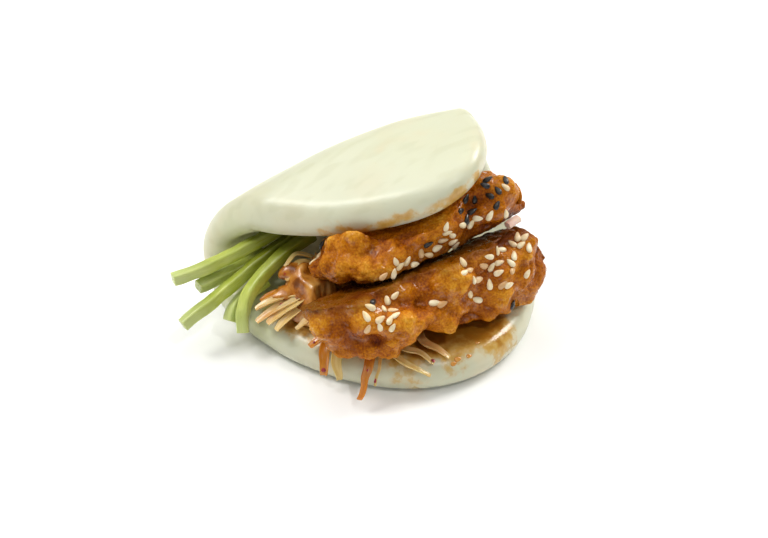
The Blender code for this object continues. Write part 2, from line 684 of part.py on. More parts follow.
def build():
    """Make the whole object."""
    clear_scene()
    parts = bpy.data.collections.new(COLLECTION)
    bpy.context.scene.collection.children.link(parts)
    dough = paint("steamed_dough", (0.82, 0.82, 0.66), 0.45)
    batter = paint("fried_batter", (0.42, 0.17, 0.045), 0.35)
    green = paint("cucumber_flesh", (0.42, 0.52, 0.14), 0.3)
    cabbage = paint("dressed_slaw", (0.72, 0.38, 0.16), 0.3)
    pink = paint("radish_flesh", (0.80, 0.52, 0.45), 0.3)
    add_object("bun", closed_mesh("bun", bun_surface(BUN_COLUMNS, BUN_FACE_ROWS, BUN_RIM_ROWS)), dough, parts)
    lower = lower_chicken(CHICKEN_ROWS, CHICKEN_COLUMNS)
    upper = upper_chicken(CHICKEN_ROWS, CHICKEN_COLUMNS)
    for name, surface, patches, seed in (
        ("chicken_lower", lower, LOWER_PATCHES, LOWER_SESAME_SEED),
        ("chicken_upper", upper, UPPER_PATCHES, UPPER_SESAME_SEED),
    ):
        piece = join(name, closed_mesh(name, surface), sesame(surface, patches, seed))
        add_object(name, piece, batter, parts)
    sticks = [bar(path, STICK_WIDTH, STICK_WIDTH, roll, STICK_STEPS) for path, roll in STICKS]
    for number, stick in enumerate(sticks, start=1):
        name = f"cucumber_stick_{number}"
        add_object(name, closed_mesh(name, stick), green, parts)
    heap = closed_mesh("slaw", slaw_heap(SLAW_ROWS, SLAW_COLUMNS, [lower, upper] + sticks))
    shreds = [bar(path, width, height, 0.0, SHRED_STEPS, SHRED_TAPER) for path, width, height in SHREDS]
    lumps = [egg(np.array(middle), X_AXIS, Y_AXIS, size) for middle, size in LUMPS]
    add_object("slaw", join("slaw", heap, shreds + lumps), cabbage, parts)
    chip = bar(RADISH, *RADISH_SIZE, RADISH_ROLL, SHRED_STEPS)
    add_object("radish_chip", closed_mesh("radish_chip", chip), pink, parts)


build()
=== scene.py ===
import math

import bpy
import numpy as np
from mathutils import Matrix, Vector
from mathutils.bvhtree import BVHTree


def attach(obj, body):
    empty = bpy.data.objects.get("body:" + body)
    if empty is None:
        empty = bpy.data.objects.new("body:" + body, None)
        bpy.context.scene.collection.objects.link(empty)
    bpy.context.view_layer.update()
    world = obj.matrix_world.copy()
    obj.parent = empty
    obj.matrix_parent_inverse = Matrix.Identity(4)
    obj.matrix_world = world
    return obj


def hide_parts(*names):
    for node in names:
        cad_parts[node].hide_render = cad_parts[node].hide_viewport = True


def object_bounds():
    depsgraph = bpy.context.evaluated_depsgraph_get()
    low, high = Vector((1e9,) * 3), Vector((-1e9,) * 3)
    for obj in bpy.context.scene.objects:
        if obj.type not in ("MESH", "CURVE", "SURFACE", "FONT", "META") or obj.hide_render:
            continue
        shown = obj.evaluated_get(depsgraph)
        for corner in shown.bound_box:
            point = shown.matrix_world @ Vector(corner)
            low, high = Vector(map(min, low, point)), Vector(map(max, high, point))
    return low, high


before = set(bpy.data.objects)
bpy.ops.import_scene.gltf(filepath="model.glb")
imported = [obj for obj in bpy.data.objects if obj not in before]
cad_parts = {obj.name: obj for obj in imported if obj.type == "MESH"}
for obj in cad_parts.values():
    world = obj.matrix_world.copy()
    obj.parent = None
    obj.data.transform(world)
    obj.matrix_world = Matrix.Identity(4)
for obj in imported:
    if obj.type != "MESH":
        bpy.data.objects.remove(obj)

cad_low, cad_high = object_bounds()

MM = 0.001                # a millimetre in metres
CONTACT_GAP = 0.35        # kept between pieces that lie against each other
ORIGIN_SHIFT = (5.8, -2.8, 0.0)  # from the formulas' origin to the frame's
X_AXIS = np.array((1.0, 0.0, 0.0))
Y_AXIS = np.array((0.0, 1.0, 0.0))
Z_AXIS = np.array((0.0, 0.0, 1.0))
DOWNWARDS = Vector((0.0, 0.0, -1.0))
ABOVE_ALL = 80.0          # a height over every piece
TINY = 1e-9               # the least length that anything is divided by

# Noise: odd numbers that mix the bits of a cell's place, and how its grid is turned.
CELL_FACTORS = np.array((374761393, 668265263, 1440662683))
SEED_FACTOR = 1013904223
MIXING_ROUNDS = ((13, 1274126177), (15, 461845907))
LAST_SHIFT = 16
LOW_BITS = 0xFFFFFFFF
NOISE_TURN = np.array(((0.80, 0.60, 0.0), (-0.48, 0.64, 0.60), (0.36, -0.48, 0.80)))

# The bun: an oval of dough, folded once.
DOUGH_HALF = 5.0          # half the dough's thickness
DOUGH_PUFF = 0.35         # how much thicker the middle of a flap is, on each side
DOUGH_HALF_LENGTH = 46.6  # along the fold
LOWER_REACH = 74.6        # from the middle of the fold round to the lower lip
UPPER_REACH = 53.8        # the same, round to the upper lip
LOWER_SKEW = 0.01         # how much fuller the lower flap is towards +X
UPPER_SKEW = 0.41
FOLD_BACK = 29.3          # where the middle of the dough is furthest back
FOLD_TURN = 0.087         # how far the fold comes forward, for each mm along X
FOLD_DEPTH = 14.0         # from the bend's furthest point to where a flap starts
FOLD_TOP = 44.7           # height of the upper flap's middle layer over the fold
FOLD_CLIMB = 0.223        # how much it climbs along X
FOLD_ARCH = 0.0028        # and how much that climb eases off
FLAP_RUN = 28.0           # from the fold to the upper lip, at the middle
LIP_LIFT = -0.3           # how far the upper lip stands above the fold
LIP_LIFT_TURN = 0.174     # and how much that grows along X
LIP_DROOP = 1.58          # how far the edge itself rolls down again
UPPER_LENGTH_SHARE = 0.81  # the lifted flap is shorter along X
UPPER_SHIFT = -5.5        # how far each flap is moved along X
LOWER_SHIFT = 3.0
BUN_COLUMNS = 320
BUN_FACE_ROWS = 62
BUN_RIM_ROWS = 26
FLAP_TOP = 2.0 * DOUGH_HALF + DOUGH_PUFF  # the lower flap's upper side

# The chicken: stations along each piece, as x, y, z, half depth and half height.
LOWER_CHICKEN = (
    (-30.0, -6.5, 19.6, 9.0, 8.5),
    (-22.5, -12.9, 20.8, 14.4, 12.6),
    (-11.5, -16.2, 19.2, 14.7, 11.0),
    (0.5, -16.4, 19.8, 10.9, 12.1),
    (12.5, -15.4, 20.6, 11.3, 13.7),
    (24.0, -13.6, 21.7, 9.7, 14.8),
    (35.0, -15.3, 20.3, 11.6, 15.4),
)
UPPER_CHICKEN = (
    (-27.0, 0.7, 26.3, 6.9, 7.6),
    (-18.5, -2.5, 29.2, 10.5, 9.0),
    (-7.0, -6.5, 31.9, 9.6, 11.1),
    (7.0, -7.2, 34.9, 9.6, 10.2),
    (18.0, -7.9, 36.8, 8.1, 10.0),
    (26.5, -5.7, 35.4, 7.8, 7.7),
    (33.8, -4.4, 34.8, 8.4, 6.9),
)
PARTING_LINE = -10.0      # where along Y the height of the surface between them is given
PARTING_HEIGHT = 27.76
PARTING_CLIMB = 0.1166    # how much it climbs along X
PARTING_ARCH = -0.00037
PARTING_TILT = math.radians(25.8)  # how far it leans
CHICKEN_ROWS = 42         # as in the solids
CHICKEN_COLUMNS = 26
FINER = 8                 # fine rows and columns for each of those
CHICKEN_LENGTH = 70.0     # round figures, to measure along and round a piece
CHICKEN_GIRTH = 62.0
END_BLUNTNESS = 3.6       # how blunt the ends of a piece are
END_CROWDING = 0.4        # how much closer the rows lie at the ends
LOBE_SIZE = 12.0          # the broad lumps
LOBE_HEIGHT = 8.5
CRAG_SIZE = 6.0           # the smaller lumps on them
CRAG_HEIGHT = 4.2
LUMP_BLEND = 6.0          # how sharply neighbouring lumps meet
LUMP_LEVEL = 0.24         # the share of a lump's height that the plain body stands for
LOWER_RELIEF_SEED = 128   # this one and the next few make a piece's relief
UPPER_RELIEF_SEED = 102
PRESS_SOFTNESS = 0.9      # how softly a piece bends where it is pressed
LIP_OPENING = 2.0         # how steeply the room for the chicken grows past the upper lip
RAISED_UP_TO = 14.0       # the lower piece lies on slaw as far as this along X
LOWERED_FROM = 26.0       # and straight on the bun from here on
RAISED_BY = 2.0           # how much higher it lies on the slaw

# Bumps that stand out from the rest, as along, turn in half circles, size and height.
LOWER_BUMPS = (
    (-0.09, 0.57, 4.0, 1.5),
    (0.4, 1.78, 3.0, -4.0),
    (0.49, 1.89, 3.3, 4.2),
    (0.68, 1.94, 3.3, 3.7),
    (0.92, 1.75, 4.9, 2.1),
    (0.94, 0.39, 3.6, 3.9),
)
UPPER_BUMPS = (
    (1.06, 1.92, 3.0, 3.6),
    (0.82, 0.45, 4.3, -0.5),
    (0.89, 1.74, 6.9, -1.6),
)

# Sesame: its patches, as along, turn, spread along, spread across, count and share of black.
LOWER_PATCHES = (
    (0.262, 0.22, 3.0, 2.4, 11, 0.0),
    (0.317, 0.33, 0.6, 0.6, 1, 0.0),
    (0.469, 0.18, 0.9, 0.9, 2, 0.0),
    (0.592, 0.28, 1.2, 1.4, 3, 0.0),
    (0.700, 0.21, 3.6, 2.4, 16, 0.0),
    (0.859, 0.30, 1.8, 1.6, 6, 0.0),
    (0.854, 0.05, 0.4, 0.4, 1, 0.0),
    (0.779, -0.17, 0.4, 0.4, 1, 1.0),
    (0.235, 0.29, 0.4, 0.4, 1, 1.0),
)
UPPER_PATCHES = (
    (0.072, 0.97, 1.4, 0.8, 2, 0.0),
    (0.12, 0.80, 0.6, 0.6, 1, 1.0),
    (0.317, 0.40, 0.4, 0.4, 1, 0.0),
    (0.358, 0.37, 0.4, 0.4, 1, 0.0),
    (0.390, 0.41, 0.4, 0.4, 1, 1.0),
    (0.426, 0.09, 0.4, 0.4, 1, 1.0),
    (0.333, 0.01, 2.4, 1.1, 7, 0.0),
    (0.405, 0.0, 2.0, 1.3, 5, 0.0),
    (0.495, 0.03, 1.4, 1.8, 5, 0.0),
    (0.460, 0.35, 0.4, 0.4, 1, 0.0),
    (0.617, 0.10, 2.4, 1.0, 6, 0.1),
    (0.626, 0.25, 2.4, 2.0, 6, 0.95),
    (0.667, 0.34, 2.0, 1.6, 4, 0.6),
    (0.691, 0.43, 0.5, 0.5, 1, 1.0),
)
LOWER_SESAME_SEED = 5
UPPER_SESAME_SEED = 7
SEED_SIZE = (3.1, 1.75, 1.1)  # length, width and thickness
SEED_RAISED = 0.12        # how far a seed's middle lies over the batter
SEED_SPACING = 2.0        # between the middles of two seeds
SEED_CLEARANCE = 1.2      # from a seed's middle to the flap or the other piece
SEED_TRIES = 12           # draws for each seed that a patch wants
SEED_COMPASS = (0.31, 0.17, 0.93)  # headings are counted from square to this
EGG_COLUMNS = 12
EGG_ROWS = 9
EGG_POINT = 0.38          # how much fuller one end of an egg is

# Cucumber: each stick's roll, and its middle line from its free end inwards.
STICKS = (
    (0.15, (-57.0, 20.6, 20.0), (-49.4, 20.5, 20.8), (-41.2, 20.9, 22.2), (-33.0, 20.6, 24.8),
     (-24.0, 20.6, 27.8)),
    (-0.2, (-50.6, 19.4, 16.3), (-44.9, 20.6, 16.6), (-38.4, 21.6, 17.4), (-30.0, 22.4, 19.2)),
    (0.25, (-57.6, 13.6, 9.8), (-51.8, 14.6, 12.2), (-44.9, 15.8, 15.0), (-37.5, 17.0, 18.6),
     (-29.5, 18.4, 22.0), (-22.0, 19.8, 24.2)),
    (0.5, (-44.8, 11.6, 8.2), (-42.6, 13.4, 11.2), (-38.6, 15.2, 12.8), (-32.0, 16.8, 14.2)),
    (0.1, (-43.3, 6.4, 7.4), (-42.2, 8.8, 11.6), (-39.6, 10.8, 15.8), (-34.0, 12.6, 20.0),
     (-26.5, 14.6, 23.6), (-18.0, 16.6, 25.6)),
)
STICK_WIDTH = 3.3

# Rods: their steps, sides and squareness, what is left of the width at the tip, how far they
# stray, how uneven they are, and how far their edges curl up.
STICK_FORM = dict(steps=60, sides=24, squareness=5.0, taper=1.0, wave=0.12, uneven=0.07, cup=0.0)
SHRED_FORM = dict(steps=36, sides=16, squareness=2.8, taper=0.45, wave=0.35, uneven=0.16, cup=0.28)
RADISH_FORM = dict(steps=36, sides=16, squareness=2.8, taper=1.0, wave=0.1, uneven=0.1, cup=0.0)
ROD_END = ((0.0, 0.0), (0.0, 0.55), (0.0, 0.86), (0.004, 0.97))  # rows that close it: place, size
ROD_INSET = 0.015         # where the rows of full size start
ROD_STEP = 0.02           # the direction of a rod is taken over this share, both ways
SIDE_DRIFT = (3.1, 5)     # size and seed of the waves in which a rod strays
RISE_DRIFT = (4.3, 6)
RISE_SHARE = 0.5          # it strays less upwards
WIDTH_DRIFT = (2.3, 7)
DRIFT_APART = 7.3         # the waves of two rods lie this far apart
FIBRE_APART = 11.7

# Slaw: a heap on the lower flap, and what sticks out of it.
SLAW_FLOOR = FLAP_TOP + CONTACT_GAP
SLAW_MIDDLE = (-9.0, -2.0)
# How far it reaches, at even turns: less than the solid towards -X and -Y, where shreds show.
SLAW_REACHES = (28.0, 22.0, 15.0, 13.0, 15.0, 25.0, 20.0, 14.0, 15.0, 19.0, 17.0, 20.0)
SLAW_THIN = 0.7           # the least that is left under the chicken
SLAW_HEIGHT = 13.0
SLAW_STEEPNESS = 6.0      # how suddenly it falls off at its edge
SLAW_ROWS = 32
SLAW_COLUMNS = 160
SLAW_ROUGHNESS = 2.4      # height of its dents
SLAW_WAVE = 5.0           # size of its dents
SLAW_SEED = 31
SLAW_COVER = 3.2          # it keeps below whatever is within this distance over it
CABBAGE = "cabbage"
CARROT = "carrot"
# Each shred's kind, width and thickness, and its middle line from the heap outwards.
SHREDS = (
    (CABBAGE, 2.8, 1.1, (-28.0, 4.4, 16.5), (-34.6, 5.4, 16.0), (-39.6, 5.9, 14.2)),
    (CABBAGE, 3.5, 1.0, (-28.0, 3.0, 16.0), (-33.8, 3.6, 14.4), (-40.4, 3.0, 11.9)),
    (CABBAGE, 3.9, 1.0, (-25.5, 3.0, 17.0), (-31.0, 1.9, 15.0), (-38.3, 0.8, 12.3)),
    (CABBAGE, 2.2, 0.9, (-21.0, 7.8, 19.6), (-24.4, 7.2, 20.4), (-28.0, 6.0, 18.4)),
    (CARROT, 3.2, 1.2, (-23.0, -8.0, 11.5), (-27.6, -10.0, 11.6), (-31.0, -10.4, 9.8)),
    (CARROT, 3.8, 1.1, (-21.0, -9.0, 11.5), (-25.6, -12.0, 11.8), (-28.9, -14.6, 9.4), (-30.2, -16.4, 4.8)),
    (CABBAGE, 3.4, 1.0, (-19.0, -11.0, 11.5), (-23.6, -14.6, 11.8), (-26.8, -17.6, 8.8), (-27.4, -19.8, 4.6)),
    (CARROT, 2.9, 1.3, (-12.0, -14.0, 11.5), (-15.6, -18.4, 11.9), (-19.2, -22.4, 10.9), (-22.6, -26.0, 7.0),
     (-25.2, -28.4, 3.4)),
    (CABBAGE, 1.3, 1.0, (-12.0, -17.0, 11.5), (-15.4, -21.6, 11.7), (-18.4, -25.4, 9.4), (-20.6, -27.2, 5.6)),
    (CABBAGE, 2.4, 0.9, (-12.0, -16.0, 11.5), (-13.8, -22.4, 11.7), (-13.0, -26.4, 11.0), (-10.2, -29.8, 9.4),
     (-7.0, -32.0, 7.4)),
    (CABBAGE, 2.5, 0.9, (-8.5, -17.0, 11.5), (-10.2, -23.4, 11.7), (-7.4, -27.2, 11.2), (-5.0, -30.4, 9.9)),
    (CABBAGE, 2.5, 1.0, (-4.0, -17.0, 11.5), (-4.6, -23.4, 11.8), (-2.4, -27.6, 11.4), (-0.6, -30.4, 10.2)),
    (CABBAGE, 3.3, 0.9, (-24.0, 0.9, 15.5), (-29.6, 0.6, 14.2), (-37.2, -2.0, 11.8)),
    (CABBAGE, 2.6, 0.9, (-22.0, -2.0, 14.0), (-27.4, -3.0, 12.9), (-32.2, -4.0, 11.8)),
    (CARROT, 2.8, 1.6, (-27.0, 6.0, 15.4), (-33.0, 8.0, 15.6), (-37.2, 8.4, 14.6)),
    (CABBAGE, 2.4, 0.9, (-21.0, 9.4, 20.6), (-25.4, 9.6, 22.4), (-29.8, 7.2, 19.6)),
    (CABBAGE, 1.8, 0.9, (-20.0, 11.0, 21.4), (-25.0, 11.6, 24.0), (-29.2, 9.8, 22.4)),
)
LUMPS = (                 # sauced lumps on the heap: a middle and a size
    ((-31.8, 5.9, 16.6), (6.4, 5.4, 4.4)),
    ((-27.6, 9.4, 20.4), (7.4, 6.0, 5.0)),
)
RADISH = ((24.2, -14.8, 34.6), (26.0, -14.4, 35.0), (28.0, -14.0, 35.4))
RADISH_SIZE = (2.4, 1.8)
RADISH_ROLL = 0.3
RADISH_SEED = 3

# Finer detail than the solids have, in millimetres.
DOUGH_WAVES = ((14.0, 0.22), (5.0, 0.05))  # size and height of its unevenness
DOUGH_SEED = 71
STAIN_REACH = 9.5         # how far the sauce has soaked out from the chicken
STAIN_WAVE = 6.0          # size of the waves in that, and how strong they are
STAIN_UNEVENNESS = 0.6
STAIN_SEED = 76
STAIN_STOPS = (-24.0, -4.0, 16.0, 25.0)  # along X, the stain starts, is full, fades and is faint
STAIN_LEAST = 0.16
SLAW_BROWNING = 0.75     # how much browner the dough is made under the slaw
SLAW_BROWNING_REACH = 4.5      # and how far beyond it that reaches
LIP_STAIN = 1.3           # how stained the upper flap is where it faces down, which is also painted shade on its lip band
LIP_MOST = 0.9
LIP_PATCH = 9.0           # size of its patches
LIP_SEED = 77
LIP_SHARE = 0.7           # how much of it they cover, and how sharply they end
LIP_SHARPNESS = 1.5
LIP_TURN = 0.55           # it is clean where it faces up by more than this
STREAK_WIDTH = 1.7
STREAK_STRETCH = (0.16, 1.0, 1.0)  # painted streaks along the fold: darker lines that stand in for the streaky sheen of its fine ridges
STREAK_SEED = 78
GREEN_BOUNCE_REACH = 7.0         # how far from the cucumber painted green bounce light reaches on the dough
CRUMB_SIZES = ((2.8, 1.3), (1.4, 0.7), (0.75, 0.36))  # size and height of the batter's crumbs
CRUMB_PATCH = 8.0         # size of the patches in which the batter is rougher
CRUMB_TOP = 0.5           # what stands higher is cut off
CRUMB_LEAST = 0.35        # how rough it is between them
SEED_SEAT = 1.3           # the batter is calm this far from a seed's middle
SEED_TILT = 0.12          # how far a seed tips out of the batter
SEED_SIZES = (0.84, 1.04)  # the smallest and the largest, as shares of a seed's size
TONE_SEED = 17
TOASTED_MOST = 0.9        # how toasted the brownest white seeds are
SAUCE_PATCH = 11.0        # size of the sauce's patches on the batter
SAUCE_SEED = 83
SAUCE_SHARE = 0.6         # how much of the sauce is in patches
SAUCE_TURN = 36.0         # the rest of it grows up to here along X
UPPER_SAUCE = 0.12        # how much wetter the upper piece is
PARTING_SHADE_REACH = 2.6       # how far from the parting the batter is painted darker, as shade where the pieces meet
HEAP_WAVES = ((3.0, 0.7), (1.4, 0.35))  # size and height of the slaw's fine dents
LUMP_WAVES = ((3.0, 0.7), (1.5, 0.25))
LAID_COUNT = 90           # shreds that lie over the heap
LAID_TRIES = 30           # draws for each of them
LAID_LENGTH = (5.0, 13.0)  # the shortest and the longest
LAID_WIDTH = (1.0, 2.4)
LAID_THICKNESS = 0.7
LAID_STATIONS = 6         # points on the middle line of each
LAID_BOW = 0.04           # how far it bows, for each square millimetre along it
LAID_LIFT = Vector((0.0, 0.0, 0.25))  # over the heap
LAID_CLEARANCE = 1.0      # from a middle line to the chicken or the cucumber
LAID_SEED = 47
SAUCED_SIDE = -24.0       # along X, the heap is under sauce on this side
SAUCED_OVER = 17.5        # where it is higher than this
CARROT_SHARE = 0.3        # how many of the shreds over the heap are carrot
TINTS = (0.2, 1.0)        # how strongly the shreds that stick out are tinted
# Radish skin on the shreds: a shred's number, a share of its length and a size.
BITS = (
    (1, 0.42, (1.8, 0.9, 0.5)),
    (8, 0.12, (2.0, 0.8, 0.5)),
    (8, 0.92, (1.3, 0.7, 0.5)),
    (5, 0.93, (1.2, 1.8, 0.5)),
    (10, 0.95, (1.2, 1.0, 0.5)),
    (9, 0.3, (1.6, 0.9, 0.5)),
    (7, 0.45, (0.8, 0.5, 0.4)),
    (7, 0.55, (0.5, 0.6, 0.4)),
    (7, 0.66, (0.7, 0.5, 0.4)),
    (4, 0.8, (0.7, 0.7, 0.4)),
)
BIT_LIFT = 0.225          # how far a bit's middle lies over its shred
BIT_STEP = 0.05           # its direction is taken over this share of the shred
DRIPS = (                 # sauce on the lower flap: a place along X and Y, and a size
    (1.9, -30.4, 1.4),
    (5.2, -30.4, 1.1),
    (0.4, -31.0, 1.2),
    (9.2, -27.6, 1.0),
)
DRIP_FORM = np.array((1.5, 1.0, 0.34))  # its length, width and height, for a size of 1
BETWEEN_FLAPS = 14.0      # a height over the lower flap and under the upper one
# Every so many rows and columns are enough to measure distances to.
STICK_THINNING = (6, 6)
HEAP_THINNING = (2, 4)

# Floor, lights and camera, in metres.
FLOOR_SIZE = 6.0
FLOOR_COLOUR = (0.95, 0.95, 0.95, 1.0)
FLOOR_LOOK = {            # its glow lightens the shadow, as a lit table does
    "Base Color": FLOOR_COLOUR, "Roughness": 0.9,
    "Emission Color": FLOOR_COLOUR, "Emission Strength": 0.04,
}
SURROUND_COLOUR = (1.0, 1.0, 1.0, 1.0)
SURROUND_STRENGTH = 0.12
PANELS = (                # a name, a position, a size, a power and a tint
    ("overhead_panel", (-0.2, 0.25, 1.1), 1.5, 10.5, (1.0, 1.0, 0.99)),
    ("left_panel", (-0.56, 0.38, 0.9), 0.38, 5.2, (1.0, 1.0, 0.97)),
    ("right_panel", (0.95, 0.12, 0.8), 0.45, 10.0, (1.0, 0.99, 0.95)),
    ("front_panel", (-0.5, -1.1, 0.9), 0.6, 0.9, (0.98, 0.99, 1.0)),
    ("glint_panel", (0.1, -0.7, 1.0), 0.07, 2.2, (1.0, 1.0, 0.98)),
)
LENS = 75.0
SENSOR_WIDTH = 36.0
NEAREST_SEEN = 0.01
CAMERA_POSITION = (-0.15272, -0.31837, 0.26614)
LOOK_POINT = (0.0139, 0.02325, 0.0)


# ---- noise, curves and normals ----


def hashed(cells, seed):
    """Return a fixed number from 0 to 1 for each whole-numbered cell, by mixing its bits."""
    mixed = (cells @ CELL_FACTORS + seed * SEED_FACTOR) & LOW_BITS
    for shift, factor in MIXING_ROUNDS:
        mixed = ((mixed ^ (mixed >> shift)) * factor) & LOW_BITS
    return (mixed ^ (mixed >> LAST_SHIFT)) / LOW_BITS


def noise(points, size, seed):
    """Return smooth noise from -1 to 1.

    Hashed values at the corners of cubes of the given size are blended across each cube, by a
    curve of the fifth power that is level at both ends.
    """
    scaled = points @ NOISE_TURN / size
    cell = np.floor(scaled).astype(np.int64)
    part = scaled - cell
    part = part ** 3 * (part * (part * 6.0 - 15.0) + 10.0)
    total = np.zeros(points.shape[:-1])
    for corner in np.ndindex(2, 2, 2):
        weight = np.prod(np.where(corner, part, 1.0 - part), axis=-1)
        total += weight * hashed(cell + np.array(corner), seed)
    return total * 2.0 - 1.0


def through(stations, along):
    """Return the smooth curve through evenly spaced stations (Catmull-Rom) at 0 to 1."""
    stations = np.asarray(stations, dtype=float)
    last = len(stations) - 1
    place = np.clip(along, 0.0, 1.0) * last
    index = np.minimum(place.astype(int), last - 1)
    part = (place - index)[..., None]
    before = stations[np.maximum(index - 1, 0)]
    start = stations[index]
    end = stations[index + 1]
    after = stations[np.minimum(index + 2, last)]
    return 0.5 * (
        2.0 * start
        + (end - before) * part
        + (2.0 * before - 5.0 * start + 4.0 * end - after) * part ** 2
        + (3.0 * start - before - 3.0 * end + after) * part ** 3
    )


def unit(vectors):
    """Return the vectors at length 1."""
    return vectors / np.maximum(np.linalg.norm(vectors, axis=-1, keepdims=True), TINY)


def grid_normals(points):
    """Return outward normals of a closed grid: the cross product of its two directions."""
    down = np.gradient(points, axis=0)
    across = np.roll(points, -1, axis=1) - np.roll(points, 1, axis=1)
    normals = unit(np.cross(down, across))
    normals[0] = unit(normals[1].sum(axis=0))
    normals[-1] = unit(normals[-2].sum(axis=0))
    return normals


def softened(room):
    """Return distances that bend softly to zero where they would be negative."""
    return PRESS_SOFTNESS * np.logaddexp(0.0, room / PRESS_SOFTNESS)


def level_poles(values):
    """Make the values of a closed grid's first and last rows one, in place."""
    values[0] = values[0].mean()
    values[-1] = values[-1].mean()


def bell(distance):
    """Return a bell curve of a distance: e to the power of minus its square."""
    return np.exp(-distance ** 2)


# ---- the bun ----


def fold_height(along):
    """Return the height of the upper flap's middle layer over the fold: a line that eases off."""
    return FOLD_TOP + FOLD_CLIMB * along - FOLD_ARCH * along ** 2


def bend_size(along):
    """Return the bend's half height, the dough's length round a quarter of it, and where flaps start."""
    half_height = (fold_height(along) - DOUGH_HALF) / 2.0
    quarter = math.pi / 2.0 * np.sqrt((half_height ** 2 + FOLD_DEPTH ** 2) / 2.0)
    return half_height, quarter, FOLD_BACK - FOLD_TURN * along - FOLD_DEPTH


def flap_rise(along, beyond):
    """Return how far the upper flap rises beyond the bend, and its slope: a lift less a droop."""
    lift = (LIP_LIFT + LIP_LIFT_TURN * along) / FLAP_RUN
    run = beyond / FLAP_RUN
    return lift * beyond - LIP_DROOP * run ** 4, lift - 4.0 * LIP_DROOP * run ** 3 / FLAP_RUN


def bend(along, across, layer):
    """Fold flat dough: a flat lower flap, half an ellipse round the fold, a lifted upper flap.

    Along runs along the fold, across from the lower lip to the upper one with 0 in the middle
    of the bend, and layer is the distance from the dough's middle, positive outwards.
    """
    half_height, quarter, start = bend_size(along)
    turn = np.clip(across / quarter, -1.0, 1.0) * math.pi / 2.0
    beyond = np.maximum(np.abs(across) - quarter, 0.0)
    upper = across > 0.0
    rise, slope = flap_rise(along, beyond)
    middle_y = start + FOLD_DEPTH * np.cos(turn) - beyond
    middle_z = DOUGH_HALF + half_height * (1.0 + np.sin(turn)) + np.where(upper, rise, 0.0)
    on_flap = beyond > 0.0
    out_y = np.where(on_flap, np.where(upper, slope, 0.0), np.cos(turn) / FOLD_DEPTH)
    out_z = np.where(on_flap, np.sign(across), np.sin(turn) / half_height)
    length = np.sqrt(out_y ** 2 + out_z ** 2)
    share = 0.5 + 0.5 * np.sin(turn)
    shift = LOWER_SHIFT + (UPPER_SHIFT - LOWER_SHIFT) * share
    x = along * (1.0 + (UPPER_LENGTH_SHARE - 1.0) * share) + shift
    return np.stack((x, middle_y + layer * out_y / length, middle_z + layer * out_z / length), axis=-1)


def dough_rows():
    """Return share, inset and layer for each row: out from the pole, round the rim and back in."""
    face = np.linspace(0.0, 1.0, BUN_FACE_ROWS + 1)
    angle = np.linspace(-math.pi / 2.0, math.pi / 2.0, BUN_RIM_ROWS + 1)[1:-1]
    share = np.concatenate((face, np.ones_like(angle), face[::-1]))
    inset = np.concatenate((np.ones_like(face), 1.0 - np.cos(angle), np.ones_like(face)))
    layer = np.concatenate((-np.ones_like(face), np.sin(angle), np.ones_like(face)))
    puff = layer * DOUGH_PUFF * (1.0 - share ** 2)
    return share, inset * DOUGH_HALF, layer * DOUGH_HALF + puff


def outline_reach(along, middle_reach, skew):
    """Return how far the dough's oval reaches from the fold, for a place along it from -1 to 1."""
    return middle_reach * (1.0 + skew * along) * np.sqrt(1.0 - along ** 2)


def bun_surface():
    """Return the bun as a closed grid: an oval slab with a round rim, bent round its middle."""
    angle = np.arange(BUN_COLUMNS) / BUN_COLUMNS * 2.0 * math.pi
    cosine = np.cos(angle)
    reach = np.where(
        np.sin(angle) > 0.0,
        outline_reach(cosine, UPPER_REACH, UPPER_SKEW),
        -outline_reach(cosine, LOWER_REACH, LOWER_SKEW),
    )
    outline = np.stack((DOUGH_HALF_LENGTH * cosine, reach), axis=-1)
    share, inset, layer = dough_rows()
    length = np.linalg.norm(outline, axis=-1)
    scale = share[:, None] * (1.0 - inset[:, None] / length[None, :])
    flat = outline[None] * scale[..., None]
    points = bend(flat[..., 0], flat[..., 1], np.broadcast_to(layer[:, None], scale.shape))
    points[..., 2] = np.maximum(points[..., 2], 0.0)
    return points


def flap_over(x, y):
    """Return the height of the upper flap's underside over x, y, and whether the flap is there.

    Past the lip it is the height of a slope that leads up and out from the lip.
    """
    along = (x - UPPER_SHIFT) / UPPER_LENGTH_SHARE
    _, quarter, start = bend_size(along)
    beyond = np.maximum(start - y, 0.0)
    height = fold_height(along) + flap_rise(along, beyond)[0] - DOUGH_HALF - DOUGH_PUFF
    share = np.clip(along / DOUGH_HALF_LENGTH, -1.0, 1.0)
    past = beyond + quarter - outline_reach(share, UPPER_REACH, UPPER_SKEW)
    return height + LIP_OPENING * np.maximum(past, 0.0), past < 0.0


# ---- the chicken ----


def rows_along(rows):
    """Return the rows' places along a piece from 0 to 1, closer together at its ends."""
    even = np.linspace(0.0, 1.0, rows)
    return even - END_CROWDING * np.sin(2.0 * math.pi * even) / (2.0 * math.pi)


def loaf(stations, rows, columns):
    """Return a long round body as a closed grid, with its axis and its sections' directions.

    Ellipses stand square to a smooth curve through the stations, and shrink to blunt ends.
    """
    along = rows_along(rows)
    curve = through(stations, along)
    axis = curve[:, :3]
    tangent = unit(np.gradient(axis, axis=0))
    side = unit(np.cross(tangent, Z_AXIS))
    rise = np.cross(side, tangent)
    end = np.sqrt(np.maximum(1.0 - np.abs(2.0 * along - 1.0) ** END_BLUNTNESS, 0.0))
    turn = np.arange(columns) / columns * 2.0 * math.pi
    depth = (end * curve[:, 3])[:, None, None] * np.cos(turn)[None, :, None] * side[:, None, :]
    height = (end * curve[:, 4])[:, None, None] * np.sin(turn)[None, :, None] * rise[:, None, :]
    return axis[:, None, :] + depth + height, along, turn


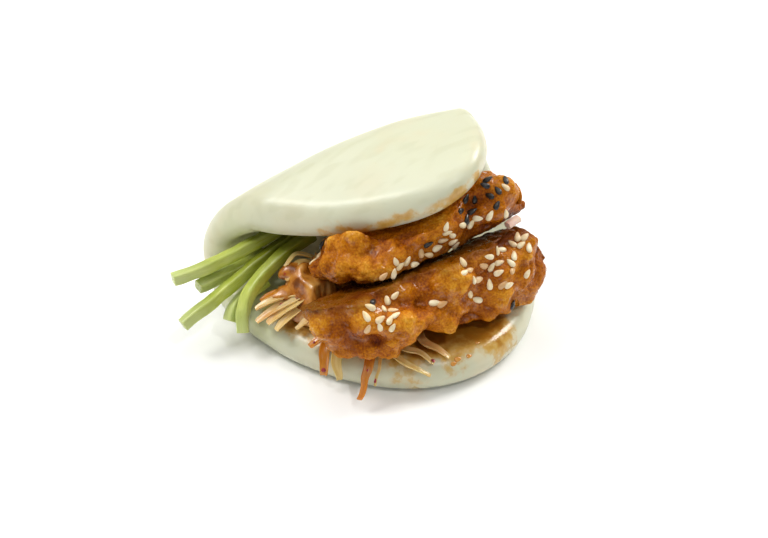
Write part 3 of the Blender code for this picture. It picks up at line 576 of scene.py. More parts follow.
def bumps(along, turn, places):
    """Return the height of single bumps: each is a bell curve round its place on the body."""
    total = np.zeros((len(along), len(turn)))
    for place, angle, size, height in places:
        across = np.angle(np.exp(1j * (turn - angle * math.pi))) * CHICKEN_GIRTH / (2.0 * math.pi)
        distance = np.hypot((along - place)[:, None] * CHICKEN_LENGTH, across[None, :])
        total += height * bell(distance / size)
    return total


def lumpy(points, size, height, seed):
    """Return round lumps with soft creases between them.

    Each cube of the given size holds one middle, and a bell curve round each middle is added up.
    The logarithm of the sum falls off as the square of the distance to the nearest middle.
    """
    scaled = points / size
    cell = np.floor(scaled).astype(np.int64)
    total = np.zeros(points.shape[:-1])
    for step in np.ndindex(3, 3, 3):
        near = cell + np.array(step) - 1
        middle = near + np.stack([hashed(near, seed * 3 + axis) for axis in range(3)], axis=-1)
        total += np.exp(-LUMP_BLEND * ((scaled - middle) ** 2).sum(axis=-1))
    return (np.log(total) / LUMP_BLEND + LUMP_LEVEL) * height


def crumb_relief(points, seed, seats):
    """Return the batter's fine relief: round lumps of a few sizes, calm under the seeds.

    A broad noise makes it rougher in some places than in others.
    """
    patch = CRUMB_LEAST + (1.0 - CRUMB_LEAST) * (0.5 + 0.5 * noise(points, CRUMB_PATCH, seed + 2))
    total = np.zeros(points.shape[:-1])
    for step, (size, height) in enumerate(CRUMB_SIZES):
        total += lumpy(points, size, height, seed + 3 + step)
    calm = np.ones_like(total)
    for seat in seats:
        calm *= 1.0 - bell(np.linalg.norm(points - seat, axis=-1) / SEED_SEAT)
    return total * patch * calm


def chicken_surface(stations, places, seed, finer):
    """Return a battered piece: a loaf with broad lobes, smaller crags and single bumps.

    It comes with the height of its crags, for the batter's colour: darker in the hollows, partly
    pooled sauce and partly painted shade.
    """
    rows = (CHICKEN_ROWS - 1) * finer + 1
    points, along, turn = loaf(stations, rows, CHICKEN_COLUMNS * finer)
    relief = lumpy(points, LOBE_SIZE, LOBE_HEIGHT, seed)
    relief += lumpy(points, CRAG_SIZE, CRAG_HEIGHT, seed + 1)
    relief += bumps(along, turn, places)
    level_poles(relief)
    return points + grid_normals(points) * relief[..., None], relief


def crumbled(points, seed, seats):
    """Return a surface with crumbs cut into it, and how high they stand.

    They keep below the surface that is given, so that nothing comes closer to its neighbours.
    """
    crumbs = crumb_relief(points, seed, seats)
    level_poles(crumbs)
    depth = np.minimum(crumbs - CRUMB_TOP, 0.0)
    return points + grid_normals(points) * depth[..., None], crumbs


def above_parting(points):
    """Return how far points lie above the surface where the pieces meet, and that way up.

    The surface leans back by a steady tilt, and its height bends along X as a parabola.
    """
    x = points[..., 0]
    height = PARTING_HEIGHT + PARTING_CLIMB * x + PARTING_ARCH * x ** 2
    direction = np.array((0.0, math.sin(PARTING_TILT), math.cos(PARTING_TILT)))
    place = np.stack((x, np.full_like(x, PARTING_LINE), height), axis=-1)
    return (points - place) @ direction, direction


def chicken_floor(x):
    """Return the height that the lower piece rests at: on slaw at first, then on the bun."""
    share = np.clip((LOWERED_FROM - x) / (LOWERED_FROM - RAISED_UP_TO), 0.0, 1.0)
    return FLAP_TOP + CONTACT_GAP + RAISED_BY * share ** 2 * (3.0 - 2.0 * share)


def lower_chicken(finer):
    """Return the lower piece, pressed flat at its floor and where the upper piece lies."""
    points, relief = chicken_surface(LOWER_CHICKEN, LOWER_BUMPS, LOWER_RELIEF_SEED, finer)
    floor = chicken_floor(points[..., 0])
    points[..., 2] = floor + softened(points[..., 2] - floor)
    above, direction = above_parting(points)
    room = -above - CONTACT_GAP / 2.0
    return points + (room - softened(room))[..., None] * direction, relief


def upper_chicken(finer):
    """Return the upper piece, pressed under the upper flap and on the lower one."""
    points, relief = chicken_surface(UPPER_CHICKEN, UPPER_BUMPS, UPPER_RELIEF_SEED, finer)
    ceiling = flap_over(points[..., 0], points[..., 1])[0] - CONTACT_GAP
    points[..., 2] = ceiling - softened(ceiling - points[..., 2])
    above, direction = above_parting(points)
    room = above - CONTACT_GAP / 2.0
    return points + (softened(room) - room)[..., None] * direction, relief


# ---- cucumber and shreds ----


def rod_rows(steps):
    """Return places along a rod from 0 to 1 and the size of its rows, which close in flat ends."""
    end, size = np.array(ROD_END).T
    inner = np.linspace(ROD_INSET, 1.0 - ROD_INSET, steps)
    along = np.concatenate((end, inner, 1.0 - end[::-1]))
    return along, np.concatenate((size, np.ones(steps), size[::-1]))


def section(width, height, squareness, cup, sides):
    """Return a superellipse as distances across and upwards, with its edges curled up by cup.

    The cosine and the sine of each turn are raised to 2 over the squareness. The curl grows as
    the square of the distance across.
    """
    turn = (np.arange(sides) + 0.5) / sides * 2.0 * math.pi
    power = 2.0 / squareness
    across = np.sign(np.cos(turn)) * np.abs(np.cos(turn)) ** power * width / 2.0
    upwards = np.sign(np.sin(turn)) * np.abs(np.sin(turn)) ** power * height / 2.0
    return across, upwards + cup * width * (np.abs(across) / (width / 2.0)) ** 2


def rod(path, width, height, roll, seed, steps, sides, squareness, taper, wave, uneven, cup):
    """Return a rod as a closed grid, and its fibre coordinates.

    A superellipse with the given squareness is carried along a smooth path that strays by wave.
    It is turned by the roll, narrows to taper at its far end and is uneven in width. Its edges
    curl up by cup, in shares of its width. The fibre coordinates run along it and across it.
    """
    along, scale = rod_rows(steps)
    length = np.linalg.norm(np.diff(path, axis=0), axis=1).sum()
    tangent = unit(through(path, along + ROD_STEP) - through(path, along - ROD_STEP))
    side = unit(np.cross(tangent, Z_AXIS))
    rise = np.cross(side, tangent)
    drift = along[:, None] * length * X_AXIS + seed * DRIFT_APART * Y_AXIS
    aside = wave * noise(drift, *SIDE_DRIFT)[:, None] * side
    upwards = wave * RISE_SHARE * noise(drift, *RISE_DRIFT)[:, None] * rise
    line = through(path, along) + aside + upwards
    narrowed = scale * (1.0 + (taper - 1.0) * along ** 2) * (1.0 + uneven * noise(drift, *WIDTH_DRIFT))
    across, high = section(width, height, squareness, cup, sides)
    first = (across * math.cos(roll) - high * math.sin(roll)) * narrowed[:, None]
    second = (across * math.sin(roll) + high * math.cos(roll)) * narrowed[:, None]
    points = line[:, None] + first[..., None] * side[:, None] + second[..., None] * rise[:, None]
    lengthwise = np.broadcast_to(along[:, None] * length, first.shape)
    return points, np.stack((lengthwise, first, second + seed * FIBRE_APART), axis=-1)


def shred(path, width, thickness, seed):
    """Return a slaw shred: a flat rod with curled edges, that strays and narrows."""
    return rod(path, width, thickness, 0.0, seed, **SHRED_FORM)


def lowest_over(x, y, covers):
    """Return the height of the lowest of the covers' points that are near each x, y, if any."""
    points = np.concatenate([cover.reshape(-1, 3) for cover in covers])
    aside = np.hypot(x[..., None] - points[:, 0], y[..., None] - points[:, 1])
    return np.where(aside < SLAW_COVER, points[:, 2], np.inf).min(axis=-1)


def slaw_heap(covers):
    """Return the heap as a closed grid: a smooth uneven outline, a flat floor and a dented dome.

    Its top keeps under everything that lies over it.
    """
    part = np.arange(SLAW_COLUMNS) / SLAW_COLUMNS
    angle = part * 2.0 * math.pi
    stations = np.concatenate((SLAW_REACHES[-1:], SLAW_REACHES, SLAW_REACHES[:2]))[:, None]
    place = (1.0 + part * len(SLAW_REACHES)) / (len(stations) - 1)
    outline = through(stations, place) * np.stack((np.cos(angle), np.sin(angle)), axis=-1)
    outwards = np.linspace(0.0, 1.0, SLAW_ROWS + 1)
    share = np.concatenate((outwards, outwards[::-1]))
    upper = np.arange(len(share)) > SLAW_ROWS
    plan = outline[None] * share[:, None, None] + np.array(SLAW_MIDDLE)
    x, y = plan[..., 0], plan[..., 1]
    flat = np.stack((x, y, np.zeros_like(x)), axis=-1)
    dome = SLAW_HEIGHT * (1.0 - share[:, None] ** SLAW_STEEPNESS)
    dome = dome + noise(flat, SLAW_WAVE, SLAW_SEED) * SLAW_ROUGHNESS
    height = np.minimum(SLAW_FLOOR + SLAW_THIN + dome, lowest_over(x, y, covers) - CONTACT_GAP)
    height = np.maximum(height, SLAW_FLOOR + SLAW_THIN)
    top = np.where(upper[:, None], height, SLAW_FLOOR)
    top[-1] = top[-1, 0]
    return np.concatenate((plan, top[..., None]), axis=-1)


def under(tree, x, y, start=ABOVE_ALL):
    """Return the highest point of a shape over x, y below a height, and the way out from it."""
    return tree.ray_cast(Vector((x, y, start)), DOWNWARDS)[:2]


def is_clear(path, neighbours):
    """Tell whether a path keeps its distance from every neighbour."""
    return all(tree.find_nearest(Vector(point))[3] > LAID_CLEARANCE for tree in neighbours for point in path)


def on_sauce(path):
    """Tell whether a path lies high at the heap's -X end, where sauce covers the shreds."""
    return any(x < SAUCED_SIDE and z > SAUCED_OVER for x, _, z in path)


def laid_path(draw, heap):
    """Draw a bowed middle line and lay it on the heap. Return None if it doesn't lie on it."""
    distance = max(SLAW_REACHES) * math.sqrt(draw.uniform())
    angle, heading = draw.uniform(0.0, 2.0 * math.pi, 2)
    middle = np.array(SLAW_MIDDLE) + distance * np.array((math.cos(angle), math.sin(angle)))
    steps = np.linspace(-0.5, 0.5, LAID_STATIONS) * draw.uniform(*LAID_LENGTH)
    bow = draw.normal(0.0, LAID_BOW) * steps ** 2
    x = middle[0] + steps * math.cos(heading) - bow * math.sin(heading)
    y = middle[1] + steps * math.sin(heading) + bow * math.cos(heading)
    path = [under(heap, *place)[0] for place in zip(x, y)]
    return None if None in path else [tuple(point + LAID_LIFT) for point in path]


def laid_paths(heap, neighbours):
    """Return the middle lines of shreds that lie over the heap, clear of its neighbours."""
    draw = np.random.default_rng(LAID_SEED)
    paths = []
    for _ in range(LAID_COUNT * LAID_TRIES):
        path = laid_path(draw, heap)
        if path and is_clear(path, neighbours) and not on_sauce(path):
            paths.append(path)
        if len(paths) == LAID_COUNT:
            break
    return paths


# ---- sesame, bits and drips ----


def egg(middle, long, wide, size):
    """Return a closed grid in the form of an egg, that is fuller at one end of its length."""
    polar = np.linspace(0.0, math.pi, EGG_ROWS)
    turn = np.arange(EGG_COLUMNS) / EGG_COLUMNS * 2.0 * math.pi
    ring = np.sin(polar) * (1.0 - EGG_POINT * np.cos(polar))
    ring = ring / ring.max()
    length = -np.cos(polar)[:, None, None] * long * size[0] / 2.0
    width = (ring[:, None] * np.cos(turn))[..., None] * wide * size[1] / 2.0
    depth = (ring[:, None] * np.sin(turn))[..., None] * np.cross(long, wide) * size[2] / 2.0
    return middle + length + width + depth


def has_room(middle):
    """Tell whether a seed can lie at a point, clear of the other piece and of the upper flap."""
    above, _ = above_parting(middle)
    height, covered = flap_over(middle[0], middle[1])
    return abs(above) > SEED_CLEARANCE and not (covered and height - middle[2] < SEED_CLEARANCE)


def sesame_places(surface, patches, seed):
    """Return where seeds lie on a piece, as row, column, heading and whether each is black.

    Each patch scatters its seeds round its place, and draws again where there is no room.
    """
    draw = np.random.default_rng(seed)
    rows, columns = surface.shape[:2]
    places = []
    for along, turn, spread_along, spread_across, count, black_share in patches:
        wanted = len(places) + count
        for _ in range(count * SEED_TRIES):
            place = along + draw.normal(0.0, spread_along) / CHICKEN_LENGTH
            angle = turn + draw.normal(0.0, spread_across) / (CHICKEN_GIRTH / 2.0)
            heading = draw.uniform(0.0, math.pi)
            black = draw.uniform() < black_share
            row = int(np.abs(rows_along(rows) - place).argmin())
            column = round(angle / 2.0 * columns) % columns
            middle = surface[row, column]
            apart = [np.linalg.norm(middle - surface[other[0], other[1]]) for other in places]
            if min(apart, default=SEED_SPACING) < SEED_SPACING or not has_room(middle):
                continue
            if len(places) < wanted:
                places.append((row, column, heading, black))
    return places


def sesame(smooth, fine, places, seed):
    """Return the white seeds and the black ones, each flat on the batter at its place."""
    draw = np.random.default_rng(seed)
    normals = grid_normals(smooth)
    seeds = {False: [], True: []}
    for row, column, heading, black in places:
        outward = normals[row, column]
        first = unit(np.cross(outward, SEED_COMPASS))
        long = first * math.cos(heading) + np.cross(outward, first) * math.sin(heading)
        long = unit(long + outward * draw.normal(0.0, SEED_TILT))
        wide = unit(np.cross(outward, long))
        middle = fine[row, column] + outward * SEED_RAISED
        size = np.array(SEED_SIZE) * draw.uniform(*SEED_SIZES)
        seeds[black].append(egg(middle, long, wide, size))
    return seeds[False], seeds[True]


# ---- meshes ----


def closed_faces(rows, columns):
    """Return the corners of a closed grid's faces: triangles round both poles, and quads."""
    here = np.arange(columns)
    after = (here + 1) % columns
    base = 1 + (rows - 3) * columns
    tip = base + columns
    first = np.stack((np.zeros_like(here), 1 + after, 1 + here), axis=-1)
    last = np.stack((np.full_like(here, tip), base + here, base + after), axis=-1)
    low = 1 + np.arange(rows - 3)[:, None] * columns
    quads = np.stack((low + here, low + after, low + columns + after, low + columns + here), axis=-1)
    return np.concatenate((first, last)), quads.reshape(-1, 4)


def enclosed(vertices, faces):
    """Return six times the volume that faces enclose, negative if they point inwards."""
    first = vertices[faces[:, 0]]
    total = 0.0
    for corner in range(1, faces.shape[1] - 1):
        total += (first * np.cross(vertices[faces[:, corner]], vertices[faces[:, corner + 1]])).sum()
    return total


def at_vertices(values):
    """Return a stack of closed grids' values with each pole's row made one."""
    values = np.asarray(values, dtype=float)
    ring = values[:, 1:-1].reshape(len(values), -1, *values.shape[3:])
    return np.concatenate((values[:, 0, :1], ring, values[:, -1, :1]), axis=1)


def fill_mesh(mesh, vertices, triangles, quads):
    """Put vertices in millimetres and faces in a mesh, held inside the box of the solids."""
    places = np.clip((vertices + np.array(ORIGIN_SHIFT)) * MM, cad_low, cad_high)
    corners = np.concatenate((triangles.ravel(), quads.ravel())).astype(np.int32)
    after_triangles = len(triangles) * 3
    starts = np.concatenate((
        np.arange(len(triangles)) * 3,
        after_triangles + np.arange(len(quads)) * 4,
    )).astype(np.int32)
    mesh.vertices.add(len(vertices))
    mesh.vertices.foreach_set("co", places.ravel())
    mesh.loops.add(len(corners))
    mesh.loops.foreach_set("vertex_index", corners)
    mesh.polygons.add(len(starts))
    mesh.polygons.foreach_set("loop_start", starts)
    mesh.update(calc_edges=True)
    mesh.validate()
    mesh.shade_smooth()


def hold_trait(mesh, label, values):
    """Write a number or a vector for each vertex into a mesh, for its material to read."""
    kind, field = ("FLOAT_VECTOR", "vector") if values.ndim == 3 else ("FLOAT", "value")
    held = mesh.attributes.new(label, kind, "POINT").data
    held.foreach_set(field, values.ravel().astype(np.float32))


def piece(name, grids, material, slot, replaced=(), **traits):
    """Add one piece made of closed grids of one form, with its material and its traits.

    Each trait has a number or a vector for each point of the grids.
    """
    vertices = at_vertices(grids)
    triangles, quads = closed_faces(*np.asarray(grids).shape[1:3])
    if enclosed(vertices[0], triangles) + enclosed(vertices[0], quads) < 0.0:
        triangles, quads = triangles[:, ::-1], quads[:, ::-1]
    offset = np.arange(len(vertices))[:, None, None] * vertices.shape[1]
    triangles = (triangles + offset).reshape(-1, 3)
    quads = (quads + offset).reshape(-1, 4)
    mesh = bpy.data.meshes.new(name)
    fill_mesh(mesh, vertices.reshape(-1, 3), triangles, quads)
    for label, values in traits.items():
        hold_trait(mesh, label, at_vertices(values))
    mesh.materials.append(material)
    item = bpy.data.objects.new(name, mesh)
    bpy.context.scene.collection.objects.link(item)
    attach(item, "root")
    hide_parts(*replaced)


def tree_of(grid):
    """Return a search tree of a closed grid, in millimetres."""
    triangles, quads = closed_faces(*grid.shape[:2])
    return BVHTree.FromPolygons(at_vertices(grid[None])[0].tolist(), triangles.tolist() + quads.tolist())


# ---- shader nodes ----

SCREEN_WHITE = 255.0
SCREEN_GAMMA = 2.2
FIBRE_STRETCH = (0.12, 1.0, 1.0)  # fibres are drawn out along a piece


def colour(red, green, blue):
    """Return a screen colour given by parts of 255 as the light that it stands for."""
    return tuple((part / SCREEN_WHITE) ** SCREEN_GAMMA for part in (red, green, blue)) + (1.0,)


def feed(tree, value, socket):
    """Link a socket to another one, or set it to a plain value."""
    if isinstance(value, bpy.types.NodeSocket):
        tree.links.new(value, socket)
    else:
        socket.default_value = value


def node(tree, kind, inputs=(), **settings):
    """Add a node with its settings, feed its inputs by name or number, and return it."""
    added = tree.nodes.new(kind)
    for name, value in settings.items():
        setattr(added, name, value)
    for key, value in dict(inputs).items():
        feed(tree, value, added.inputs[key])
    return added


def reckoned(tree, how, first, second=0.0):
    """Return what an operation makes of two numbers."""
    return node(tree, "ShaderNodeMath", {0: first, 1: second}, operation=how).outputs[0]


def blended(tree, share, first, second, most=1.0):
    """Return a colour that goes from the first to the second by the share, or by most of it."""
    if most < 1.0:
        share = reckoned(tree, "MULTIPLY", share, most)
    inputs = {0: share, 6: first, 7: second}
    return node(tree, "ShaderNodeMix", inputs, data_type="RGBA").outputs[2]


def spanned(tree, value, low, high, least=0.0, most=1.0):
    """Return a value carried smoothly from low..high to least..most, and kept there."""
    inputs = {"Value": value, "From Min": low, "From Max": high, "To Min": least, "To Max": most}
    return node(tree, "ShaderNodeMapRange", inputs, interpolation_type="SMOOTHSTEP").outputs["Result"]


def ramped(tree, share, stops):
    """Return the colour at a share of a ramp of stops, each a place and a colour."""
    added = node(tree, "ShaderNodeValToRGB", {"Fac": share})
    elements = added.color_ramp.elements
    while len(elements) < len(stops):
        elements.new(1.0)
    for element, (place, shade) in zip(elements, stops):
        element.position = place
        element.color = shade
    return added.outputs["Color"]


def trait(tree, name, output="Fac"):
    """Return what a piece's mesh holds under a name."""
    return node(tree, "ShaderNodeAttribute", attribute_name=name).outputs[output]


def new_group(name, inputs, output):
    """Start a shader node group, and return its tree, its inputs' sockets and its output's."""
    tree = bpy.data.node_groups.new(name, "ShaderNodeTree")
    for label, default in inputs:
        socket = tree.interface.new_socket(label, in_out="INPUT", socket_type="NodeSocketFloat")
        socket.default_value = default
    tree.interface.new_socket(output, in_out="OUTPUT", socket_type="NodeSocketFloat")
    given = tree.nodes.new("NodeGroupInput").outputs
    return tree, given, tree.nodes.new("NodeGroupOutput").inputs[output]


def mottle_group():
    """Build the group for soft patches: noise on Object coordinates, spread between Low and High."""
    inputs = (("Scale", 100.0), ("Detail", 2.0), ("Low", 0.4), ("High", 0.6), ("Shift", 0.0))
    tree, given, share = new_group("mottle", inputs, "Share")
    place = node(tree, "ShaderNodeTexCoord").outputs["Object"]
    cloud = node(tree, "ShaderNodeTexNoise", {
        "Vector": place, "W": given["Shift"], "Scale": given["Scale"], "Detail": given["Detail"],
    }, noise_dimensions="4D")
    feed(tree, spanned(tree, cloud.outputs["Fac"], given["Low"], given["High"]), share)
    return tree


def grit_group():
    """Build the group for a fine uneven surface: grains of two sizes, as a height."""
    inputs = (("Coarse", 500.0), ("Fine", 1500.0), ("Fine Share", 0.4))
    tree, given, height = new_group("grit", inputs, "Height")
    place = node(tree, "ShaderNodeTexCoord").outputs["Object"]
    large = node(tree, "ShaderNodeTexNoise", {"Vector": place, "Scale": given["Coarse"], "Detail": 2.0})
    small = node(tree, "ShaderNodeTexNoise", {"Vector": place, "Scale": given["Fine"], "Detail": 1.0})
    weighed = reckoned(tree, "MULTIPLY", small.outputs["Fac"], given["Fine Share"])
    feed(tree, reckoned(tree, "ADD", large.outputs["Fac"], weighed), height)
    return tree


def fibre_group():
    """Build the group for fibres: noise drawn out along a piece by its fibre coordinates."""
    inputs = (("Across", 1.6), ("Low", 0.35), ("High", 0.65))
    tree, given, share = new_group("fibre", inputs, "Share")
    mapping = {"Vector": trait(tree, "fibre", "Vector"), "Scale": FIBRE_STRETCH}
    place = node(tree, "ShaderNodeMapping", mapping).outputs["Vector"]
    inputs = {"Vector": place, "Scale": given["Across"], "Detail": 2.0}
    cloud = node(tree, "ShaderNodeTexNoise", inputs)
    feed(tree, spanned(tree, cloud.outputs["Fac"], given["Low"], given["High"]), share)
    return tree


MOTTLE = mottle_group()
GRIT = grit_group()
FIBRE = fibre_group()


def placed(tree, group, inputs):
    """Place a shader group in a material's tree, and return its only output."""
    added = node(tree, "ShaderNodeGroup", node_tree=group)
    for name, value in inputs.items():
        feed(tree, value, added.inputs[name])
    return added.outputs[0]


def mottled(tree, scale, low, high, shift=0.0, detail=2.0):
    """Return the share of soft patches in a material."""
    inputs = {"Scale": scale, "Detail": detail, "Low": low, "High": high, "Shift": shift}
    return placed(tree, MOTTLE, inputs)


def fibrous(tree, across, low, high):
    """Return the share of fibres in a material."""
    return placed(tree, FIBRE, {"Across": across, "Low": low, "High": high})


def gritty(tree, coarse, fine, fine_share, depth):
    """Return the normal of a fine uneven surface, its grains as deep as the depth in metres."""
    height = placed(tree, GRIT, {"Coarse": coarse, "Fine": fine, "Fine Share": fine_share})
    return node(tree, "ShaderNodeBump", {"Height": height, "Distance": depth}).outputs["Normal"]


def new_material(name, varying, constants):
    """Make a material from a function that adds its nodes and returns what feeds its shader.

    The constants are set on the shader's own sockets.
    """
    material = bpy.data.materials.new(name)
    material.use_nodes = True
    tree = material.node_tree
    shader = tree.nodes["Principled BSDF"]
    for socket, value in constants.items():
        shader.inputs[socket].default_value = value
    for socket, value in varying(tree).items():
        feed(tree, value, shader.inputs[socket])
    return material


# ---- materials ----

# Patches and fibres are given by their scale and the span of noise that they go over, grit by its
# two scales, the share of the finer one and its depth, and colours by parts of 255.
FRIED_RAMP = (            # from the creases to the tips of the crags: a share and the colour there
    (0.14, colour(110, 46, 0)),
    (0.34, colour(162, 88, 6)),
    (0.52, colour(194, 118, 20)),
    (0.70, colour(218, 152, 46)),
    (0.92, colour(240, 198, 106)),
)
GLAZED_RAMP = (
    (0.14, colour(88, 32, 0)),
    (0.38, colour(142, 72, 0)),
    (0.62, colour(184, 106, 4)),
    (0.90, colour(222, 152, 40)),
)
DRESSING_RAMP = (
    (0.0, colour(110, 58, 10)),
    (0.35, colour(170, 100, 28)),
    (0.7, colour(200, 134, 54)),
    (1.0, colour(216, 164, 88)),
)
SEED_GRIT = (1200.0, 3500.0, 0.4, 0.00005)
SHRED_GRIT = (600.0, 1800.0, 0.4, 0.00008)
RADISH_GRIT = (900.0, 2400.0, 0.4, 0.00006)


def dough_nodes(tree):
    """Steamed dough: ivory with faint warm patches and painted streaks, soaked with sauce, with painted green
    bounce light near the cucumber.
    """
    warm = mottled(tree, 55.0, 0.42, 0.75, shift=3.0)
    skin = blended(tree, warm, colour(207, 208, 182), colour(210, 204, 174))
    # Painted streaks: darker lines along the fold stand in for the streaky sheen of its fine ridges.
    streaked = spanned(tree, trait(tree, "streak"), -0.1, 0.8)
    skin = blended(tree, streaked, skin, colour(190, 190, 158), most=0.32)
    peach = mottled(tree, 70.0, 0.54, 0.80, shift=8.0)
    skin = blended(tree, peach, skin, colour(222, 194, 150), most=0.5)
    specks = mottled(tree, 900.0, 0.74, 0.80, shift=1.0)
    skin = blended(tree, specks, skin, colour(190, 172, 126), most=0.35)
    frayed = reckoned(tree, "SUBTRACT", mottled(tree, 330.0, 0.25, 0.75, shift=5.0, detail=4.0), 0.5)
    # The sauce share also holds the painted shade of the lip band.
    soaked = reckoned(tree, "ADD", trait(tree, "sauce"), reckoned(tree, "MULTIPLY", frayed, 0.45))
    ochre = spanned(tree, soaked, 0.18, 0.62)
    stained = blended(tree, ochre, skin, colour(200, 152, 46), most=0.85)
    brown = spanned(tree, soaked, 0.52, 0.94)
    stained = blended(tree, brown, stained, colour(158, 98, 10), most=0.85)
    return {
        # Painted green bounce light from the cucumber, mixed in near the sticks.
        "Base Color": blended(tree, trait(tree, "green"), stained, colour(178, 186, 112), most=0.5),
        "Roughness": spanned(tree, soaked, 0.1, 0.8, 0.34, 0.16),
        "Normal": gritty(tree, 420.0, 1300.0, 0.4, 0.00006),
    }


def batter_nodes(tree):
    """Fried batter under glaze: dark in its creases from pooled sauce and painted shade, golden on its crags,
    redder where sauced.
    """
    # Darker in the hollows of the relief: partly pooled sauce, partly painted shade.
    crag = spanned(tree, trait(tree, "crag"), -3.4, 3.6, most=0.34)
    crumb = spanned(tree, trait(tree, "crumb"), -0.7, 0.9, most=0.36)
    grain = mottled(tree, 1900.0, 0.2, 0.8, shift=2.0, detail=3.0)
    relief = reckoned(tree, "ADD", crag, crumb)
    share = reckoned(tree, "ADD", relief, reckoned(tree, "MULTIPLY", grain, 0.30))
    patch = reckoned(tree, "MULTIPLY", mottled(tree, 160.0, 0.3, 0.7, shift=6.0, detail=3.0), 0.5)
    sauced = spanned(tree, reckoned(tree, "ADD", trait(tree, "sauce"), patch), 0.45, 1.05)
    batter = blended(tree, sauced, ramped(tree, share, FRIED_RAMP), ramped(tree, share, GLAZED_RAMP))
    wet = mottled(tree, 300.0, 0.42, 0.62, shift=15.0, detail=3.0)
    return {
        # Painted shade: the batter is made darker where the two pieces meet.
        "Base Color": blended(tree, trait(tree, "parting_shade"), batter, colour(74, 28, 2), most=0.8),
        "Roughness": spanned(tree, wet, 0.0, 1.0, 0.46, 0.11),
        "Coat Weight": spanned(tree, wet, 0.6, 1.0, 0.0, 0.55),
        "Normal": gritty(tree, 1300.0, 3200.0, 0.5, 0.00028),
    }


def white_sesame_nodes(tree):
    """White sesame: cream hulls, some of them toasted, with a darker point."""
    patch = mottled(tree, 500.0, 0.35, 0.7)
    cream = blended(tree, patch, colour(240, 226, 190), colour(226, 200, 150))
    toasted = blended(tree, trait(tree, "tone"), cream, colour(205, 152, 92))
    tip = spanned(tree, trait(tree, "along"), 0.80, 1.0)
    return {
        "Base Color": blended(tree, tip, toasted, colour(190, 140, 84), most=0.6),
        "Roughness": spanned(tree, trait(tree, "tone"), 0.0, 1.0, 0.34, 0.42),
        "Normal": gritty(tree, *SEED_GRIT),
    }


def two_tone(patches, first, second, gloss, grit):
    """Return what makes a plain thing's nodes: soft patches of two colours, uneven in their gloss."""
    return lambda tree: {
        "Base Color": blended(tree, mottled(tree, *patches), colour(*first), colour(*second)),
        "Roughness": mottled(tree, *gloss),
        "Normal": gritty(tree, *grit),
    }


def cucumber_nodes(tree):
    """Cucumber flesh: pale green with fibres, paler and greyer towards the free end, darker olive further in
    as painted shade.
    """
    streak = fibrous(tree, 1.1, 0.3, 0.7)
    flesh = blended(tree, streak, colour(172, 184, 80), colour(198, 206, 106))
    watery = mottled(tree, 160.0, 0.4, 0.7, shift=4.0)
    flesh = blended(tree, watery, flesh, colour(166, 178, 62))
    tip = spanned(tree, trait(tree, "along"), 0.0, 16.0, 0.6, 0.0)
    flesh = blended(tree, tip, flesh, colour(196, 206, 148))
    # Painted shade: darker olive further in, where the stick lies under the bun.
    deep = spanned(tree, trait(tree, "along"), 15.0, 32.0)
    return {
        "Base Color": blended(tree, deep, flesh, colour(104, 108, 20), most=0.85),
        "Roughness": spanned(tree, streak, 0.0, 1.0, 0.34, 0.26),
        "Normal": gritty(tree, 700.0, 2200.0, 0.3, 0.00005),
    }


def dressing_nodes(tree):
    """Dressing and small cuttings that hold the slaw together: orange tan in darker and lighter patches, with
    red flecks.
    """
    patch = mottled(tree, 210.0, 0.32, 0.68, shift=9.0, detail=4.0)
    base = ramped(tree, patch, DRESSING_RAMP)
    red = mottled(tree, 260.0, 0.70, 0.76, shift=12.0)
    return {
        "Base Color": blended(tree, red, base, colour(150, 40, 40)),
        "Roughness": spanned(tree, patch, 0.0, 1.0, 0.26, 0.34),
        "Normal": gritty(tree, 500.0, 1500.0, 0.5, 0.00016),
    }


def shred_nodes(ribs, first, second, patches, dressed, tinted, gloss):
    """Return what makes a shred's nodes: ribs of two colours, patches of dressing and a tint."""
    def nodes(tree):
        rib = fibrous(tree, *ribs)
        flesh = blended(tree, rib, colour(*first), colour(*second))
        flesh = blended(tree, mottled(tree, *patches), flesh, colour(*dressed))
        return {
            "Base Color": blended(tree, trait(tree, "tint"), flesh, colour(*tinted), most=0.4),
            "Roughness": spanned(tree, rib, 0.0, 1.0, *gloss),
            "Normal": gritty(tree, *SHRED_GRIT),
        }
    return nodes


def radish_nodes(tree):
    """Radish flesh: pale pink, with maroon skin at its end."""
    patch = mottled(tree, 300.0, 0.35, 0.7)
    flesh = blended(tree, patch, colour(238, 200, 184), colour(246, 224, 208))
    skin = spanned(tree, trait(tree, "along"), 4.2, 5.0)
    return {
        "Base Color": blended(tree, skin, flesh, colour(150, 24, 48)),
        "Roughness": mottled(tree, 500.0, -1.4, 2.8),
        "Normal": gritty(tree, *RADISH_GRIT),
    }


BLACK_HULL = two_tone(
    patches=(900.0, 0.4, 0.8), first=(20, 17, 18), second=(52, 42, 38),
    gloss=(700.0, -1.0, 2.2), grit=SEED_GRIT,
)
MAROON_SKIN = two_tone(
    patches=(600.0, 0.4, 0.75), first=(124, 10, 34), second=(196, 60, 72),
    gloss=(500.0, -1.2, 2.6), grit=RADISH_GRIT,
)
CLEAR_SAUCE = two_tone(
    patches=(500.0, 0.3, 0.7), first=(196, 122, 40), second=(222, 160, 78),
    gloss=(400.0, -0.6, 4.0), grit=(700.0, 1900.0, 0.4, 0.00006),
)
CREAM_SHRED = shred_nodes(
    ribs=(1.8, 0.3, 0.7), first=(204, 180, 100), second=(226, 206, 136),
    patches=(170.0, 0.42, 0.72, 7.0, 3.0), dressed=(196, 142, 62), tinted=(230, 168, 124),
    gloss=(0.3, 0.24),
)
ORANGE_SHRED = shred_nodes(
    ribs=(1.6, 0.3, 0.7), first=(172, 100, 10), second=(198, 130, 28),
    patches=(190.0, 0.45, 0.75, 2.0, 3.0), dressed=(190, 136, 54), tinted=(226, 140, 66),
    gloss=(0.3, 0.22),
)
